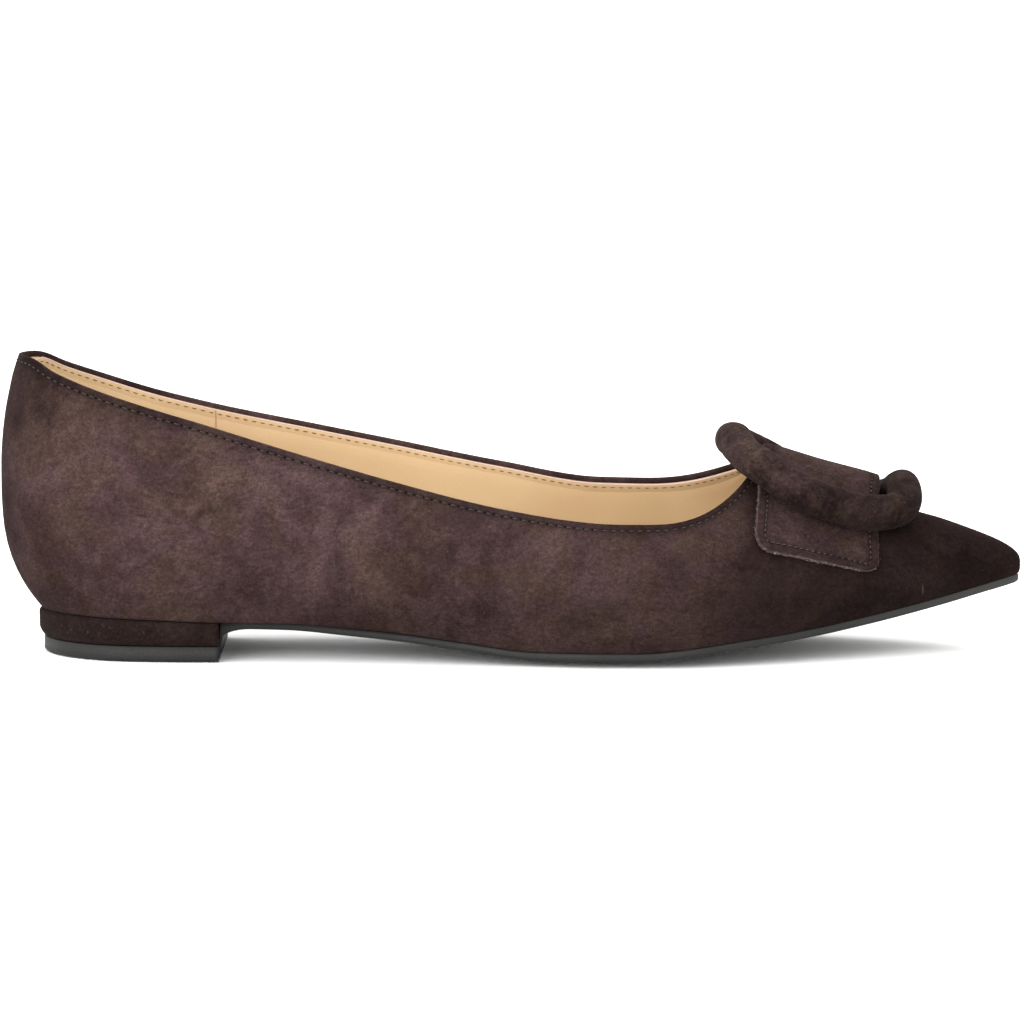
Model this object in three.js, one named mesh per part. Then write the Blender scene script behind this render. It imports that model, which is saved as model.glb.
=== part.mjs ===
// Pointed toe flat shoe for the right foot, standing empty on its sole
// X runs from the heel to the toe, Y towards the inner side of the foot and Z up, in millimetres
import * as THREE from 'three';
import { mergeVertices } from 'three/addons/utils/BufferGeometryUtils.js';

// Driving dimensions of the last
const LENGTH = 265; // back curve to toe point
const BALL_WIDTH = 72.3; // feather line to feather line across the ball
const SEAT_HEIGHT = 11.6; // feather line above the floor at the back
const TOE_SPRING = 16.2; // rise of the feather line from the ball to the toe point
const INSTEP_HEIGHT = 49.5; // top of the vamp above the floor at the throat
const BACK_HEIGHT = 77.3; // topline above the floor at the back
const BELLY_HEIGHT = 35.4; // widest line of the back curve above its feather line
const BACK_SWELL = 10.3; // how far the back curve bulges past its feather line
const SIDE_SWELL = 8; // most that the waist bulges past its feather line
const RIDGE_SHIFT = 2.5; // how far the top of the vamp leans towards the inner side
const UNDERCUT = 3; // how quickly the wall turns out of the feather line
const SOLE_CROWN = 1.7; // how far the bottom is rounded down across the ball
const FLAT_SHARE = 0.45; // middle share of the bottom's half width that stays flat

// Driving dimensions of the pieces
const WALL = 1.8; // suede and lining together
const LASTING_MARGIN = 9; // turned in under the insole
const MARGIN_LIMIT = 0.6; // most of the half width that the margin takes at the toe
const INSOLE = 2; // board and sock above the lasting margin
const SOLE = 1.9; // rubber outsole
const SOLE_BEVEL = 0.5; // on the outsole's lower edge
const TOP_PIECE = 4; // rubber under the heel
const TOP_PIECE_BEVEL = 0.8;
const HEEL_PROUD = 0.6; // heel cover past the feather line
const HEEL_TAPER = 1.3; // drawn in towards the top piece
const HEEL_EDGE = 0.8; // rounded upper edge of the heel cover
const BREAST = 57.5; // front of the heel from the back of the shoe
const BREAST_FILLET = 8; // length of the outsole's curve down the heel's breast
const BREAST_DROP = 3.1; // depth of that curve
const GAP = 0.3; // between pieces that meet
const THROAT = 196.5; // front of the foot opening from the back of the shoe
const THROAT_DEPTH = 30.5; // stretch over which the topline turns across the foot
const THROAT_SQUARENESS_OUTER = 2.9;
const THROAT_SQUARENESS_INNER = 2.7;

// Driving dimensions of the buckle
const TUBE = 9.4; // thickness of the padded ring
const RING_LENGTH = 43.6; // middle of the rear bar to middle of the front bar
const RING_WIDTH = 46.5; // middle of one side bar to middle of the other
const RING_OVERHANG = 5.9; // middle of the rear bar behind the throat
const RING_SQUARENESS = 3; // a plain oval is 2
const RING_TURN = 4.5; // degrees that the ring is turned on the vamp
const RING_SETTLE = 1.8; // how far the rear bar sinks into the foot opening
const STRAP = 1.6; // thickness of the strap
const STRAP_WIDTH = 29.4; // along the top of the vamp
const STRAP_FLARE = 3.1; // wider at the flaps, on the rear edge
const STRAP_TO_BAR = 3.1; // front edge behind the ring's front bar
const STRAP_RISE_REAR = 2.8; // arch of the strap inside the ring
const STRAP_RISE_FRONT = 4.6;
const STRAP_TUCK = 1.5; // how far the arch runs in under the side bars
const FLAP_DROP_REAR = 21; // end of the flap below the top of the vamp
const FLAP_DROP_FRONT = 17.6;
const FLAP_CORNER = 5;
const FLAP_LIFT = 0.5; // free edge off the vamp

// Rounds of the model
const LATERAL = -1; // outer side of the foot
const MEDIAL = 1; // inner side of the foot
const CREST = 2; // level of the top of a section, where 0 is the feather line and 1 the widest line
const SEARCH_STEPS = 40;

// Feather line and wall, a row for each section from the back of the heel to the toe point
// along and fan: share of the length; fan moves the section's pole away from its feather point
// lateral and medial: share of the ball width; ridge: share of the ridge shift
// back, outer and inner: shares of the back swell and the side swell; belly: share of the belly height
// full: how square the section is, where a plain oval is 2; lean: more than 1 draws its sides in
const SECTIONS = [
  {
    along: 0.0389, fan: 0.097, lateral: 0, medial: 0,
    ridge: 0, back: 1, outer: 0, inner: 0, belly: 1, full: 2, lean: 1,
  },
  {
    along: 0.0558, fan: 0.083, lateral: 0.173, medial: 0.173,
    ridge: 0, back: 0.82, outer: 0.02, inner: 0.02, belly: 0.98, full: 2, lean: 1,
  },
  {
    along: 0.0962, fan: 0.0566, lateral: 0.301, medial: 0.299,
    ridge: 0, back: 0.48, outer: 0.1, inner: 0.1, belly: 0.93, full: 2, lean: 1,
  },
  {
    along: 0.1585, fan: 0.017, lateral: 0.353, medial: 0.35,
    ridge: 0.02, back: 0.16, outer: 0.25, inner: 0.25, belly: 0.84, full: 2, lean: 1,
  },
  {
    along: 0.217, fan: 0, lateral: 0.36, medial: 0.343,
    ridge: 0.08, back: 0, outer: 0.4, inner: 0.42, belly: 0.73, full: 2, lean: 1,
  },
  {
    along: 0.3208, fan: 0, lateral: 0.373, medial: 0.311,
    ridge: 0.3, back: 0, outer: 0.55, inner: 0.85, belly: 0.57, full: 2, lean: 1,
  },
  {
    along: 0.4151, fan: 0, lateral: 0.408, medial: 0.304,
    ridge: 0.6, back: 0, outer: 0.6, inner: 1, belly: 0.47, full: 2, lean: 1,
  },
  {
    along: 0.5094, fan: 0, lateral: 0.463, medial: 0.36,
    ridge: 0.9, back: 0, outer: 0.5, inner: 0.8, belly: 0.4, full: 2, lean: 1,
  },
  {
    along: 0.5925, fan: 0, lateral: 0.512, medial: 0.443,
    ridge: 1, back: 0, outer: 0.35, inner: 0.5, belly: 0.34, full: 2, lean: 1.08,
  },
  {
    along: 0.6642, fan: 0, lateral: 0.512, medial: 0.488,
    ridge: 1, back: 0, outer: 0.28, inner: 0.32, belly: 0.3, full: 2, lean: 1.25,
  },
  {
    along: 0.7283, fan: 0, lateral: 0.456, medial: 0.477,
    ridge: 0.95, back: 0, outer: 0.27, inner: 0.28, belly: 0.27, full: 2, lean: 1.45,
  },
  {
    along: 0.7925, fan: 0, lateral: 0.367, medial: 0.415,
    ridge: 0.85, back: 0, outer: 0.27, inner: 0.26, belly: 0.24, full: 2, lean: 1.6,
  },
  {
    along: 0.8566, fan: 0, lateral: 0.27, medial: 0.318,
    ridge: 0.65, back: 0, outer: 0.25, inner: 0.24, belly: 0.2, full: 2, lean: 1.6,
  },
  {
    along: 0.917, fan: 0, lateral: 0.17, medial: 0.201,
    ridge: 0.35, back: 0, outer: 0.2, inner: 0.2, belly: 0.16, full: 2.1, lean: 1.35,
  },
  {
    along: 0.9642, fan: -0.0226, lateral: 0.091, medial: 0.102,
    ridge: 0.1, back: 0, outer: 0.16, inner: 0.16, belly: 0.115, full: 2.4, lean: 1.1,
  },
  {
    along: 0.9887, fan: -0.0395, lateral: 0.039, medial: 0.041,
    ridge: 0, back: 0, outer: 0.11, inner: 0.11, belly: 0.075, full: 3, lean: 1,
  },
  {
    along: 0.9984, fan: -0.0475, lateral: 0, medial: 0,
    ridge: 0, back: 0, outer: 0.055, inner: 0.055, belly: 0.06, full: 3.4, lean: 1,
  },
];

// Line over the top of the last, as shares of the length and of the instep height
// Behind the throat it is open, and only shapes the lean of the walls
const CREST_LINE = [
  { along: 0, height: 2.16 },
  { along: 0.15, height: 2.14 },
  { along: 0.217, height: 2.04 },
  { along: 0.3208, height: 1.82 },
  { along: 0.4151, height: 1.62 },
  { along: 0.5094, height: 1.41 },
  { along: 0.5925, height: 1.23 },
  { along: 0.6642, height: 1.11 },
  { along: 0.7415, height: 1 },
  { along: 0.8113, height: 0.874 },
  { along: 0.8634, height: 0.777 },
  { along: 0.9208, height: 0.693 },
  { along: 0.9604, height: 0.622 },
  { along: 1, height: 0.545 },
];

// Topline, as shares of the length and of the back height, up to where it turns across the foot
const TOPLINE = [
  { along: 0, lateral: 1, medial: 1 },
  { along: 0.03, lateral: 0.996, medial: 0.996 },
  { along: 0.058, lateral: 0.953, medial: 0.951 },
  { along: 0.097, lateral: 0.904, medial: 0.9 },
  { along: 0.1366, lateral: 0.86, medial: 0.855 },
  { along: 0.1951, lateral: 0.799, medial: 0.805 },
  { along: 0.3128, lateral: 0.677, medial: 0.722 },
  { along: 0.3913, lateral: 0.602, medial: 0.668 },
  { along: 0.4894, lateral: 0.521, medial: 0.599 },
  { along: 0.5875, lateral: 0.473, medial: 0.542 },
  { along: 0.65, lateral: 0.466, medial: 0.54 },
];

// Bottom of the last above its lowest stretch, which lies flat under the ball
// arch: share of the seat's rise over the ball; spring: share of the toe spring; crown: share of the crown
// waist: how far the outsole's edge is set in under the upper, as a share of the side swell
const BOTTOM = [
  { along: 0, arch: 1, spring: 0, crown: 0, waist: 0.4 },
  { along: 0.0981, arch: 0.96, spring: 0, crown: 0, waist: 0.45 },
  { along: 0.1547, arch: 0.9, spring: 0, crown: 0, waist: 0.5 },
  { along: 0.2151, arch: 0.83, spring: 0, crown: 0, waist: 0.6 },
  { along: 0.2868, arch: 0.81, spring: 0, crown: 0.25, waist: 0.62 },
  { along: 0.34, arch: 0.69, spring: 0, crown: 0.5, waist: 0.42 },
  { along: 0.3962, arch: 0.52, spring: 0, crown: 0.7, waist: 0.24 },
  { along: 0.4528, arch: 0.275, spring: 0, crown: 0.9, waist: 0.12 },
  { along: 0.5283, arch: 0, spring: 0, crown: 1, waist: 0.05 },
  { along: 0.6226, arch: 0, spring: 0, crown: 1, waist: 0.04 },
  { along: 0.6868, arch: 0, spring: 0.1, crown: 0.95, waist: 0.04 },
  { along: 0.7245, arch: 0, spring: 0.175, crown: 0.88, waist: 0.04 },
  { along: 0.7642, arch: 0, spring: 0.25, crown: 0.78, waist: 0.04 },
  { along: 0.8415, arch: 0, spring: 0.45, crown: 0.55, waist: 0.04 },
  { along: 0.9208, arch: 0, spring: 0.71, crown: 0.3, waist: 0.04 },
  { along: 0.9604, arch: 0, spring: 0.86, crown: 0.15, waist: 0.03 },
  { along: 1, arch: 0, spring: 1, crown: 0, waist: 0 },
];

// Smooth curves through tables

// A curve through the values that stays level where they turn or repeat
// mirrored gives the values that lie as far outside each end as the next row lies inside
function throughValues(knots, values, mirrored) {
  const last = values.length - 1;
  const steps = knots.slice(1).map((knot, k) => knot - knots[k]);
  const slopes = steps.map((step, k) => (values[k + 1] - values[k]) / step);
  const tangents = values.map((value, k) => {
    const stepBefore = steps[Math.max(k - 1, 0)];
    const stepAfter = steps[Math.min(k, last - 1)];
    let before = slopes[Math.max(k - 1, 0)];
    let after = slopes[Math.min(k, last - 1)];
    if (mirrored && k === 0) before = (value - mirrored.before) / stepBefore;
    if (mirrored && k === last) after = (mirrored.after - value) / stepAfter;
    if (before * after <= 0) return 0;
    const tangent = (before * stepAfter + after * stepBefore) / (stepBefore + stepAfter);
    const steepest = 3 * Math.min(Math.abs(before), Math.abs(after));
    return Math.sign(tangent) * Math.min(Math.abs(tangent), steepest);
  });
  return (position) => {
    const inside = Math.min(Math.max(position, knots[0]), knots[last]);
    let k = 0;
    while (k < last - 1 && inside > knots[k + 1]) k += 1;
    const t = (inside - knots[k]) / steps[k];
    const rise = t * t * (3 - 2 * t);
    const bendBefore = t * (1 - t) * (1 - t);
    const bendAfter = t * t * (t - 1);
    const bends = steps[k] * (tangents[k] * bendBefore + tangents[k + 1] * bendAfter);
    return values[k] * (1 - rise) + values[k + 1] * rise + bends;
  };
}

// A table's column as a function of the distance from the back of the shoe
function alongCurve(table, column, scale) {
  const knots = table.map((row) => row.along * LENGTH);
  return throughValues(knots, table.map((row) => row[column] * scale));
}

const crestHeight = alongCurve(CREST_LINE, 'height', INSTEP_HEIGHT);
const toplineHeight = {
  [LATERAL]: alongCurve(TOPLINE, 'lateral', BACK_HEIGHT),
  [MEDIAL]: alongCurve(TOPLINE, 'medial', BACK_HEIGHT),
};

const BALL_BASE = SOLE_CROWN + SOLE + GAP;
const archRise = alongCurve(BOTTOM, 'arch', SEAT_HEIGHT - BALL_BASE);
const springRise = alongCurve(BOTTOM, 'spring', TOE_SPRING);
const crownDepth = alongCurve(BOTTOM, 'crown', SOLE_CROWN);
const soleInset = alongCurve(BOTTOM, 'waist', SIDE_SWELL);

// Height of the last's bottom, where spread is 0 on the ridge and 1 on the feather line
function bottomHeight(along, spread) {
  const edge = BALL_BASE + archRise(along) + springRise(along);
  const past = Math.max(0, (Math.min(spread, 1) - FLAT_SHARE) / (1 - FLAT_SHARE));
  return edge - crownDepth(along) * (1 - past * past);
}

// Sections of the last

// Each section stands upright on a ray from its pole on the ridge to its feather point
const featherSteps = SECTIONS.slice(1).map((row, k) => {
  const back = SECTIONS[k];
  const forward = (row.along - back.along) * LENGTH;
  const sideways = ((row.lateral - back.lateral + row.medial - back.medial) * BALL_WIDTH) / 2;
  return Math.hypot(forward, sideways);
});
const sectionKnots = [0];
for (const step of featherSteps) sectionKnots.push(sectionKnots.at(-1) + step);
const TOE_END = sectionKnots.at(-1);

function sectionCurve(column, scale, otherSide = column, turned = 1) {
  const values = SECTIONS.map((row) => row[column] * scale);
  const mirrored = {
    before: SECTIONS[1][otherSide] * scale * turned,
    after: SECTIONS.at(-2)[otherSide] * scale * turned,
  };
  return throughValues(sectionKnots, values, mirrored);
}

const alongAt = sectionCurve('along', LENGTH);
const fanAt = sectionCurve('fan', LENGTH);
const ridgeAt = sectionCurve('ridge', RIDGE_SHIFT);
const backAt = sectionCurve('back', BACK_SWELL);
const bellyAt = sectionCurve('belly', BELLY_HEIGHT);
const fullAt = sectionCurve('full', 1);
const leanAt = sectionCurve('lean', 1);
const widthAt = {
  [LATERAL]: sectionCurve('lateral', BALL_WIDTH, 'medial', -1),
  [MEDIAL]: sectionCurve('medial', BALL_WIDTH, 'lateral', -1),
};
const swellAt = {
  [LATERAL]: sectionCurve('outer', SIDE_SWELL, 'inner'),
  [MEDIAL]: sectionCurve('inner', SIDE_SWELL, 'outer'),
};

// Past either end the outline runs on along the other side
function sectionAt(side, place) {
  if (place < 0) return sectionAt(-side, -place);
  if (place > TOE_END) return sectionAt(-side, 2 * TOE_END - place);
  const along = alongAt(place);
  const pole = new THREE.Vector2(along + fanAt(place), ridgeAt(place));
  const foot = new THREE.Vector2(along, side * widthAt[side](place));
  const ray = foot.clone().sub(pole);
  const reach = ray.length();
  return {
    pole,
    ray: ray.divideScalar(reach),
    reach,
    feather: bottomHeight(along, 1),
    swell: backAt(place) + swellAt[side](place),
    belly: bellyAt(place),
    full: fullAt(place),
    lean: leanAt(place),
  };
}

function onRay(section, out, height) {
  const spot = section.ray.clone().multiplyScalar(out).add(section.pole);
  return new THREE.Vector3(spot.x, spot.y, height);
}

// A point on the outside of the last, where level runs from the feather line to the crest
function lastPoint(side, place, level) {
  const section = sectionAt(side, place);
  if (level <= 1) {
    const out = section.reach + section.swell * (1 - (1 - level) ** UNDERCUT);
    return onRay(section, out, section.feather + section.belly * level);
  }
  const angle = ((level - 1) * Math.PI) / 2;
  const power = 2 / section.full;
  const widest = section.reach + section.swell;
  const point = onRay(section, widest * Math.max(Math.cos(angle), 0) ** power, 0);
  const bellyLine = section.feather + section.belly;
  const rise = Math.sin(angle) ** (power * section.lean);
  point.z = bellyLine + (crestHeight(point.x) - bellyLine) * rise;
  return point;
}

const NUDGE = 0.001;

function lastNormal(side, place, level) {
  const point = lastPoint(side, place, level);
  if (level > CREST - NUDGE) {
    const slope = (crestHeight(point.x + NUDGE) - crestHeight(point.x - NUDGE)) / (2 * NUDGE);
    return new THREE.Vector3(-slope, 0, 1).normalize();
  }
  const ahead = lastPoint(side, place + NUDGE, level).sub(lastPoint(side, place - NUDGE, level));
  const lower = level < NUDGE ? point : lastPoint(side, place, level - NUDGE);
  const upward = lastPoint(side, place, level + NUDGE).sub(lower);
  return upward.cross(ahead).multiplyScalar(side).normalize();
}

function raisedPoint(side, place, level, lift) {
  return lastPoint(side, place, level).addScaledVector(lastNormal(side, place, level), lift);
}

// Where a rising function passes zero between two ends
function search(low, high, rising) {
  let [below, above] = [low, high];
  for (let step = 0; step < SEARCH_STEPS; step += 1) {
    const middle = (below + above) / 2;
    if (rising(middle) < 0) below = middle;
    else above = middle;
  }
  return (below + above) / 2;
}

const placeOf = (along) => search(0, TOE_END, (place) => alongAt(place) - along);
const levelOfHeight = (side, place, height) =>
  search(0, CREST, (level) => lastPoint(side, place, level).z - height);

// Topline: at its own height along the foot, then turning up and across the foot at the throat
const throatStart = placeOf(THROAT - THROAT_DEPTH);
const throatPlace = placeOf(THROAT);

function plainToplineLevel(side, place) {
  return search(1, CREST, (level) => {
    const point = lastPoint(side, place, level);
    return point.z - toplineHeight[side](point.x);
  });
}

function toplineLevel(side, place) {
  if (place >= throatPlace) return CREST;
  if (place <= throatStart) return plainToplineLevel(side, place);
  const share = (alongAt(place) - (THROAT - THROAT_DEPTH)) / THROAT_DEPTH;
  const squareness = side === LATERAL ? THROAT_SQUARENESS_OUTER : THROAT_SQUARENESS_INNER;
  const turn = 1 - Math.sqrt(Math.max(0, 1 - share ** squareness));
  const plain = plainToplineLevel(side, place);
  return plain + (CREST - plain) * turn;
}

// Closed meshes

class Surface {
  constructor() {
    this.corners = [];
  }

  triangle(a, b, c) {
    const area = b.clone().sub(a).cross(c.clone().sub(a)).length();
    if (area > 1e-7) this.corners.push(a, b, c);
  }

  // Faces between two rows of points, each four cut along the shorter way across
  strip(rowA, rowB, side, keep = () => true) {
    for (let k = 0; k < rowA.length - 1; k += 1) {
      if (!keep(k)) continue;
      const [a, b, c, d] = [rowA[k], rowA[k + 1], rowB[k + 1], rowB[k]];
      if (a.distanceTo(c) <= b.distanceTo(d)) {
        this.turnedTriangle(a, b, c, side);
        this.turnedTriangle(a, c, d, side);
      } else {
        this.turnedTriangle(a, b, d, side);
        this.turnedTriangle(b, c, d, side);
      }
    }
  }

  turnedTriangle(a, b, c, side) {
    if (side > 0) this.triangle(a, b, c);
    else this.triangle(a, c, b);
  }

  // Faces inside an open loop, zipped up from its two ends
  cap(loop, side) {
    let [low, high] = [0, loop.length - 1];
    while (high - low > 1) {
      const stepLow = loop[low + 1].distanceTo(loop[high]) < loop[low].distanceTo(loop[high - 1]);
      const third = stepLow ? loop[low + 1] : loop[high - 1];
      this.turnedTriangle(loop[low], third, loop[high], side);
      if (stepLow) low += 1;
      else high -= 1;
    }
  }

  geometry() {
    const loose = new THREE.BufferGeometry().setFromPoints(this.corners);
    const joined = mergeVertices(loose, 1e-4);
    joined.computeVertexNormals();
    return joined;
  }
}

// A plate across the whole width: profile gives one side's points from the ridge out and back to it
function plate(places, profile, closedFront = false) {
  const surface = new Surface();
  for (const side of [LATERAL, MEDIAL]) {
    const rows = places.map((place) => profile(side, place));
    for (let k = 0; k < rows.length - 1; k += 1) surface.strip(rows[k], rows[k + 1], -side);
  }
  for (const side of [LATERAL, MEDIAL]) {
    if (places[0] > 0) surface.cap(profile(side, places[0]), side);
    if (closedFront) surface.cap(profile(side, places.at(-1)), -side);
  }
  return surface.geometry();
}

// Places along the shoe for rows of faces, with more where the heel, throat and toe turn
const ROWS_PER_SECTION = 2;
const CLOSEST_ROWS = 1.5;
const THROAT_ROWS = [0, 0.28, 0.52, 0.7, 0.83, 0.92, 0.975, 1];

function sectionPlaces(fromPlace, toPlace) {
  const places = [];
  for (let k = 0; k < sectionKnots.length - 1; k += 1) {
    for (let row = 0; row < ROWS_PER_SECTION; row += 1) {
      places.push(sectionKnots[k] + (featherSteps[k] * row) / ROWS_PER_SECTION);
    }
  }
  places.push(TOE_END);
  const [first, last] = [fromPlace + CLOSEST_ROWS, toPlace - CLOSEST_ROWS];
  const between = places.filter((place) => place > first && place < last);
  return [fromPlace, ...between, toPlace];
}

// Upper: suede and lining in one wall, with its lasting margin turned in underneath
const LOWER_LEVELS = [0, 0.2, 0.5, 1];
const UPPER_ROWS = 6;

function wallLevels(top) {
  const levels = [...LOWER_LEVELS];
  for (let row = 1; row <= UPPER_ROWS; row += 1) levels.push(1 + ((top - 1) * row) / UPPER_ROWS);
  return levels;
}

function marginReach(section) {
  return section.reach - Math.min(LASTING_MARGIN, MARGIN_LIMIT * section.reach);
}

function onBottom(section, out, rise, spread = out / section.reach) {
  const point = onRay(section, out, 0);
  point.z = bottomHeight(point.x, spread) + rise;
  return point;
}

// Level at which the inside of the wall meets the top of the lasting margin
function innerFootLevel(side, place) {
  const height = sectionAt(side, place).feather + WALL;
  return search(0, CREST, (level) => raisedPoint(side, place, level, -WALL).z - height);
}

// Room along a section's ray, a gap inside the wall, at a height above the feather line
function innerReach(side, place, rise) {
  const section = sectionAt(side, place);
  const level = levelOfHeight(side, place, section.feather + rise);
  const point = lastPoint(side, place, level);
  const normal = lastNormal(side, place, level);
  const out = Math.hypot(point.x - section.pole.x, point.y - section.pole.y);
  return out - (WALL + GAP) / (normal.x * section.ray.x + normal.y * section.ray.y);
}

function upperLoop(side, place) {
  const section = sectionAt(side, place);
  const marginEnd = marginReach(section);
  const levels = wallLevels(toplineLevel(side, place));
  const foot = innerFootLevel(side, place);
  const top = levels.at(-1);
  const outside = levels.map((level) => lastPoint(side, place, level));
  const inside = levels.map((level) => {
    const innerLevel = foot + (level * (top - foot)) / top;
    return raisedPoint(side, place, innerLevel, -WALL);
  });
  const marginBelow = onBottom(section, marginEnd, 0);
  const marginAbove = onBottom(section, marginEnd, WALL);
  return [marginBelow, ...outside, ...inside.reverse(), marginAbove, marginBelow];
}

function upperGeometry() {
  const throatRows = THROAT_ROWS.map((share) => placeOf(THROAT - THROAT_DEPTH * (1 - share)));
  const places = [
    ...sectionPlaces(0, throatStart).slice(0, -1),
    ...throatRows,
    ...sectionPlaces(throatPlace, TOE_END).slice(1),
  ];
  const rim = LOWER_LEVELS.length + UPPER_ROWS;
  const surface = new Surface();
  for (const side of [LATERAL, MEDIAL]) {
    const loops = places.map((place) => upperLoop(side, place));
    for (let k = 0; k < loops.length - 1; k += 1) {
      const joinedOnTop = places[k] >= throatPlace;
      surface.strip(loops[k], loops[k + 1], side, (row) => !(joinedOnTop && row === rim));
    }
  }
  return surface.geometry();
}

// Shares of the reach where a plate's faces are divided
const SHOULDER = 0.8;
const MARGIN_FILLER = 0.7;

// Insole: on the lasting margin, and thicker between the margins down to the outsole
function insoleProfile(side, place) {
  const section = sectionAt(side, place);
  const inner = marginReach(section) - 2 * GAP;
  const under = WALL + GAP;
  const edge = Math.min(innerReach(side, place, under), innerReach(side, place, under + INSOLE));
  return [
    onBottom(section, 0, under + INSOLE),
    onBottom(section, edge * FLAT_SHARE, under + INSOLE),
    onBottom(section, edge * SHOULDER, under + INSOLE),
    onBottom(section, edge, under + INSOLE, 1),
    onBottom(section, edge, under, 1),
    onBottom(section, inner, under),
    onBottom(section, inner, 0),
    onBottom(section, inner * MARGIN_FILLER, 0),
    onBottom(section, 0, 0),
  ];
}

// Outsole: from the heel's breast to the toe, with a curve down the breast
const outsoleStart = BREAST + GAP;
const FILLET_ROWS = [0, 0.04, 0.14, 0.3, 0.55, 1];

function breastDrop(along) {
  const left = 1 - Math.min(Math.max((along - outsoleStart) / BREAST_FILLET, 0), 1);
  return BREAST_DROP * (1 - Math.sqrt(1 - left * left));
}

function outsoleProfile(side, place) {
  const section = sectionAt(side, place);
  const edge = section.reach - soleInset(alongAt(place));
  const lowered = GAP + SOLE + breastDrop(alongAt(place));
  const middle = section.reach * FLAT_SHARE;
  const shoulder = edge * SHOULDER;
  return [
    onBottom(section, 0, -GAP),
    onBottom(section, middle, -GAP),
    onBottom(section, shoulder, -GAP),
    onBottom(section, edge, -GAP),
    onBottom(section, edge, SOLE_BEVEL - lowered),
    onBottom(section, edge - SOLE_BEVEL, -lowered),
    onBottom(section, shoulder, -lowered),
    onBottom(section, middle, -lowered),
    onBottom(section, 0, -lowered),
  ];
}

function outsoleGeometry() {
  const filletPlaces = FILLET_ROWS.map((share) => placeOf(outsoleStart + share * BREAST_FILLET));
  return plate([...filletPlaces, ...sectionPlaces(filletPlaces.at(-1), TOE_END).slice(1)], outsoleProfile);
}

// Heel: a low block in the suede of the upper, upright at first and then drawn in to the top piece
const HEEL_WAIST = 0.3; // share of the heel's height where the drawing in begins
const HEEL_BEND = 0.4; // share of the taper that lies halfway down from there
function heelProfile(side, place) {
  const section = sectionAt(side, place);
  const edge = section.reach + HEEL_PROUD;
  const seat = section.feather - GAP;
  const foot = TOP_PIECE + GAP;
  const waist = foot + (seat - foot) * HEEL_WAIST;
  return [
    onBottom(section, 0, -GAP),
    onBottom(section, section.reach / 2, -GAP),
    onBottom(section, edge - HEEL_EDGE, -GAP),
    onBottom(section, edge, -GAP - HEEL_EDGE),
    onRay(section, edge, waist),
    onRay(section, edge - HEEL_TAPER * HEEL_BEND, (waist + foot) / 2),
    onRay(section, edge - HEEL_TAPER, foot),
    onRay(section, 0, foot),
  ];
}

function topPieceProfile(side, place) {
  const section = sectionAt(side, place);
  const edge = section.reach + HEEL_PROUD - HEEL_TAPER;
  return [
    onRay(section, 0, TOP_PIECE),
    onRay(section, edge, TOP_PIECE),
    onRay(section, edge, TOP_PIECE_BEVEL),
    onRay(section, edge - TOP_PIECE_BEVEL, 0),
    onRay(section, 0, 0),
  ];
}

const heelPlaces = sectionPlaces(0, placeOf(BREAST));

// Buckle ring: a padded tube that lies over the vamp and the strap, turned a little on the vamp
const ringRear = THROAT - RING_OVERHANG;
const ringMiddle = ringRear + RING_LENGTH / 2;
const ringRidge = ridgeAt(placeOf(ringMiddle));
const ringTurn = (RING_TURN * Math.PI) / 180;
const RING_ROWS = 40;
const RING_EVENING = 3; // times that low spots of the ring are raised, as stiff padding does
const TUBE_SIDES = 12;
const REST_SPACING = 1; // between the points that carry the ring
const REST_LEVELS = 34;
const REST_FROM = 1.15; // lowest level of the vamp that the ring can reach

// What the ring rests on: points of the vamp and of the strap's top, close enough to carry a tube
function restingPoints() {
  const rests = [];
  const reach = RING_LENGTH / 2 + TUBE;
  for (let along = ringMiddle - reach; along <= ringMiddle + reach; along += REST_SPACING) {
    const place = placeOf(along);
    for (let row = 0; row <= REST_LEVELS; row += 1) {
      const level = REST_FROM + ((CREST - REST_FROM) * row) / REST_LEVELS;
      rests.push(lastPoint(LATERAL, place, level), lastPoint(MEDIAL, place, level));
    }
  }
  for (let row = -REST_LEVELS; row <= REST_LEVELS; row += 1) {
    const across = row / REST_LEVELS;
    const [rear, front] = strapEdges(across);
    for (let along = rear; along < front; along += REST_SPACING) {
      rests.push(strapSpot(along, across, STRAP));
    }
    rests.push(strapSpot(front, across, STRAP));
  }
  return rests;
}

// Lowest height at which a tube clears the points that it rests on
function restingHeight(rests, x, y) {
  const radius = TUBE / 2 + GAP;
  const heights = rests.map((rest) => {
    const away = Math.hypot(rest.x - x, rest.y - y);
    return away < radius ? rest.z + Math.sqrt(radius * radius - away * away) : 0;
  });
  return Math.max(...heights);
}

function ringPath() {
  const rests = restingPoints();
  const path = [];
  for (let row = 0; row < RING_ROWS; row += 1) {
    const angle = (row / RING_ROWS) * 2 * Math.PI;
    const [forward, sideways] = [Math.cos(angle), Math.sin(angle)];
    const bulge = (Math.abs(forward) ** RING_SQUARENESS + Math.abs(sideways) ** RING_SQUARENESS)
      ** (-1 / RING_SQUARENESS);
    const along = (forward * bulge * RING_LENGTH) / 2;
    const across = (sideways * bulge * RING_WIDTH) / 2;
    const x = ringMiddle + along * Math.cos(ringTurn) - across * Math.sin(ringTurn);
    const y = ringRidge + along * Math.sin(ringTurn) + across * Math.cos(ringTurn);
    const behind = Math.max(0, (THROAT - x) / RING_OVERHANG);
    const settle = RING_SETTLE * behind * behind * (1 - ((2 * across) / RING_WIDTH) ** 2);
    path.push(new THREE.Vector3(x, y, restingHeight(rests, x, y) - settle));
  }
  return path;
}

function evened(path) {
  return path.map((spot, k) => {
    const before = path[(k + RING_ROWS - 1) % RING_ROWS];
    const after = path[(k + 1) % RING_ROWS];
    const height = Math.max(spot.z, (before.z + 2 * spot.z + after.z) / 4);
    return new THREE.Vector3(spot.x, spot.y, height);
  });
}

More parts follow.
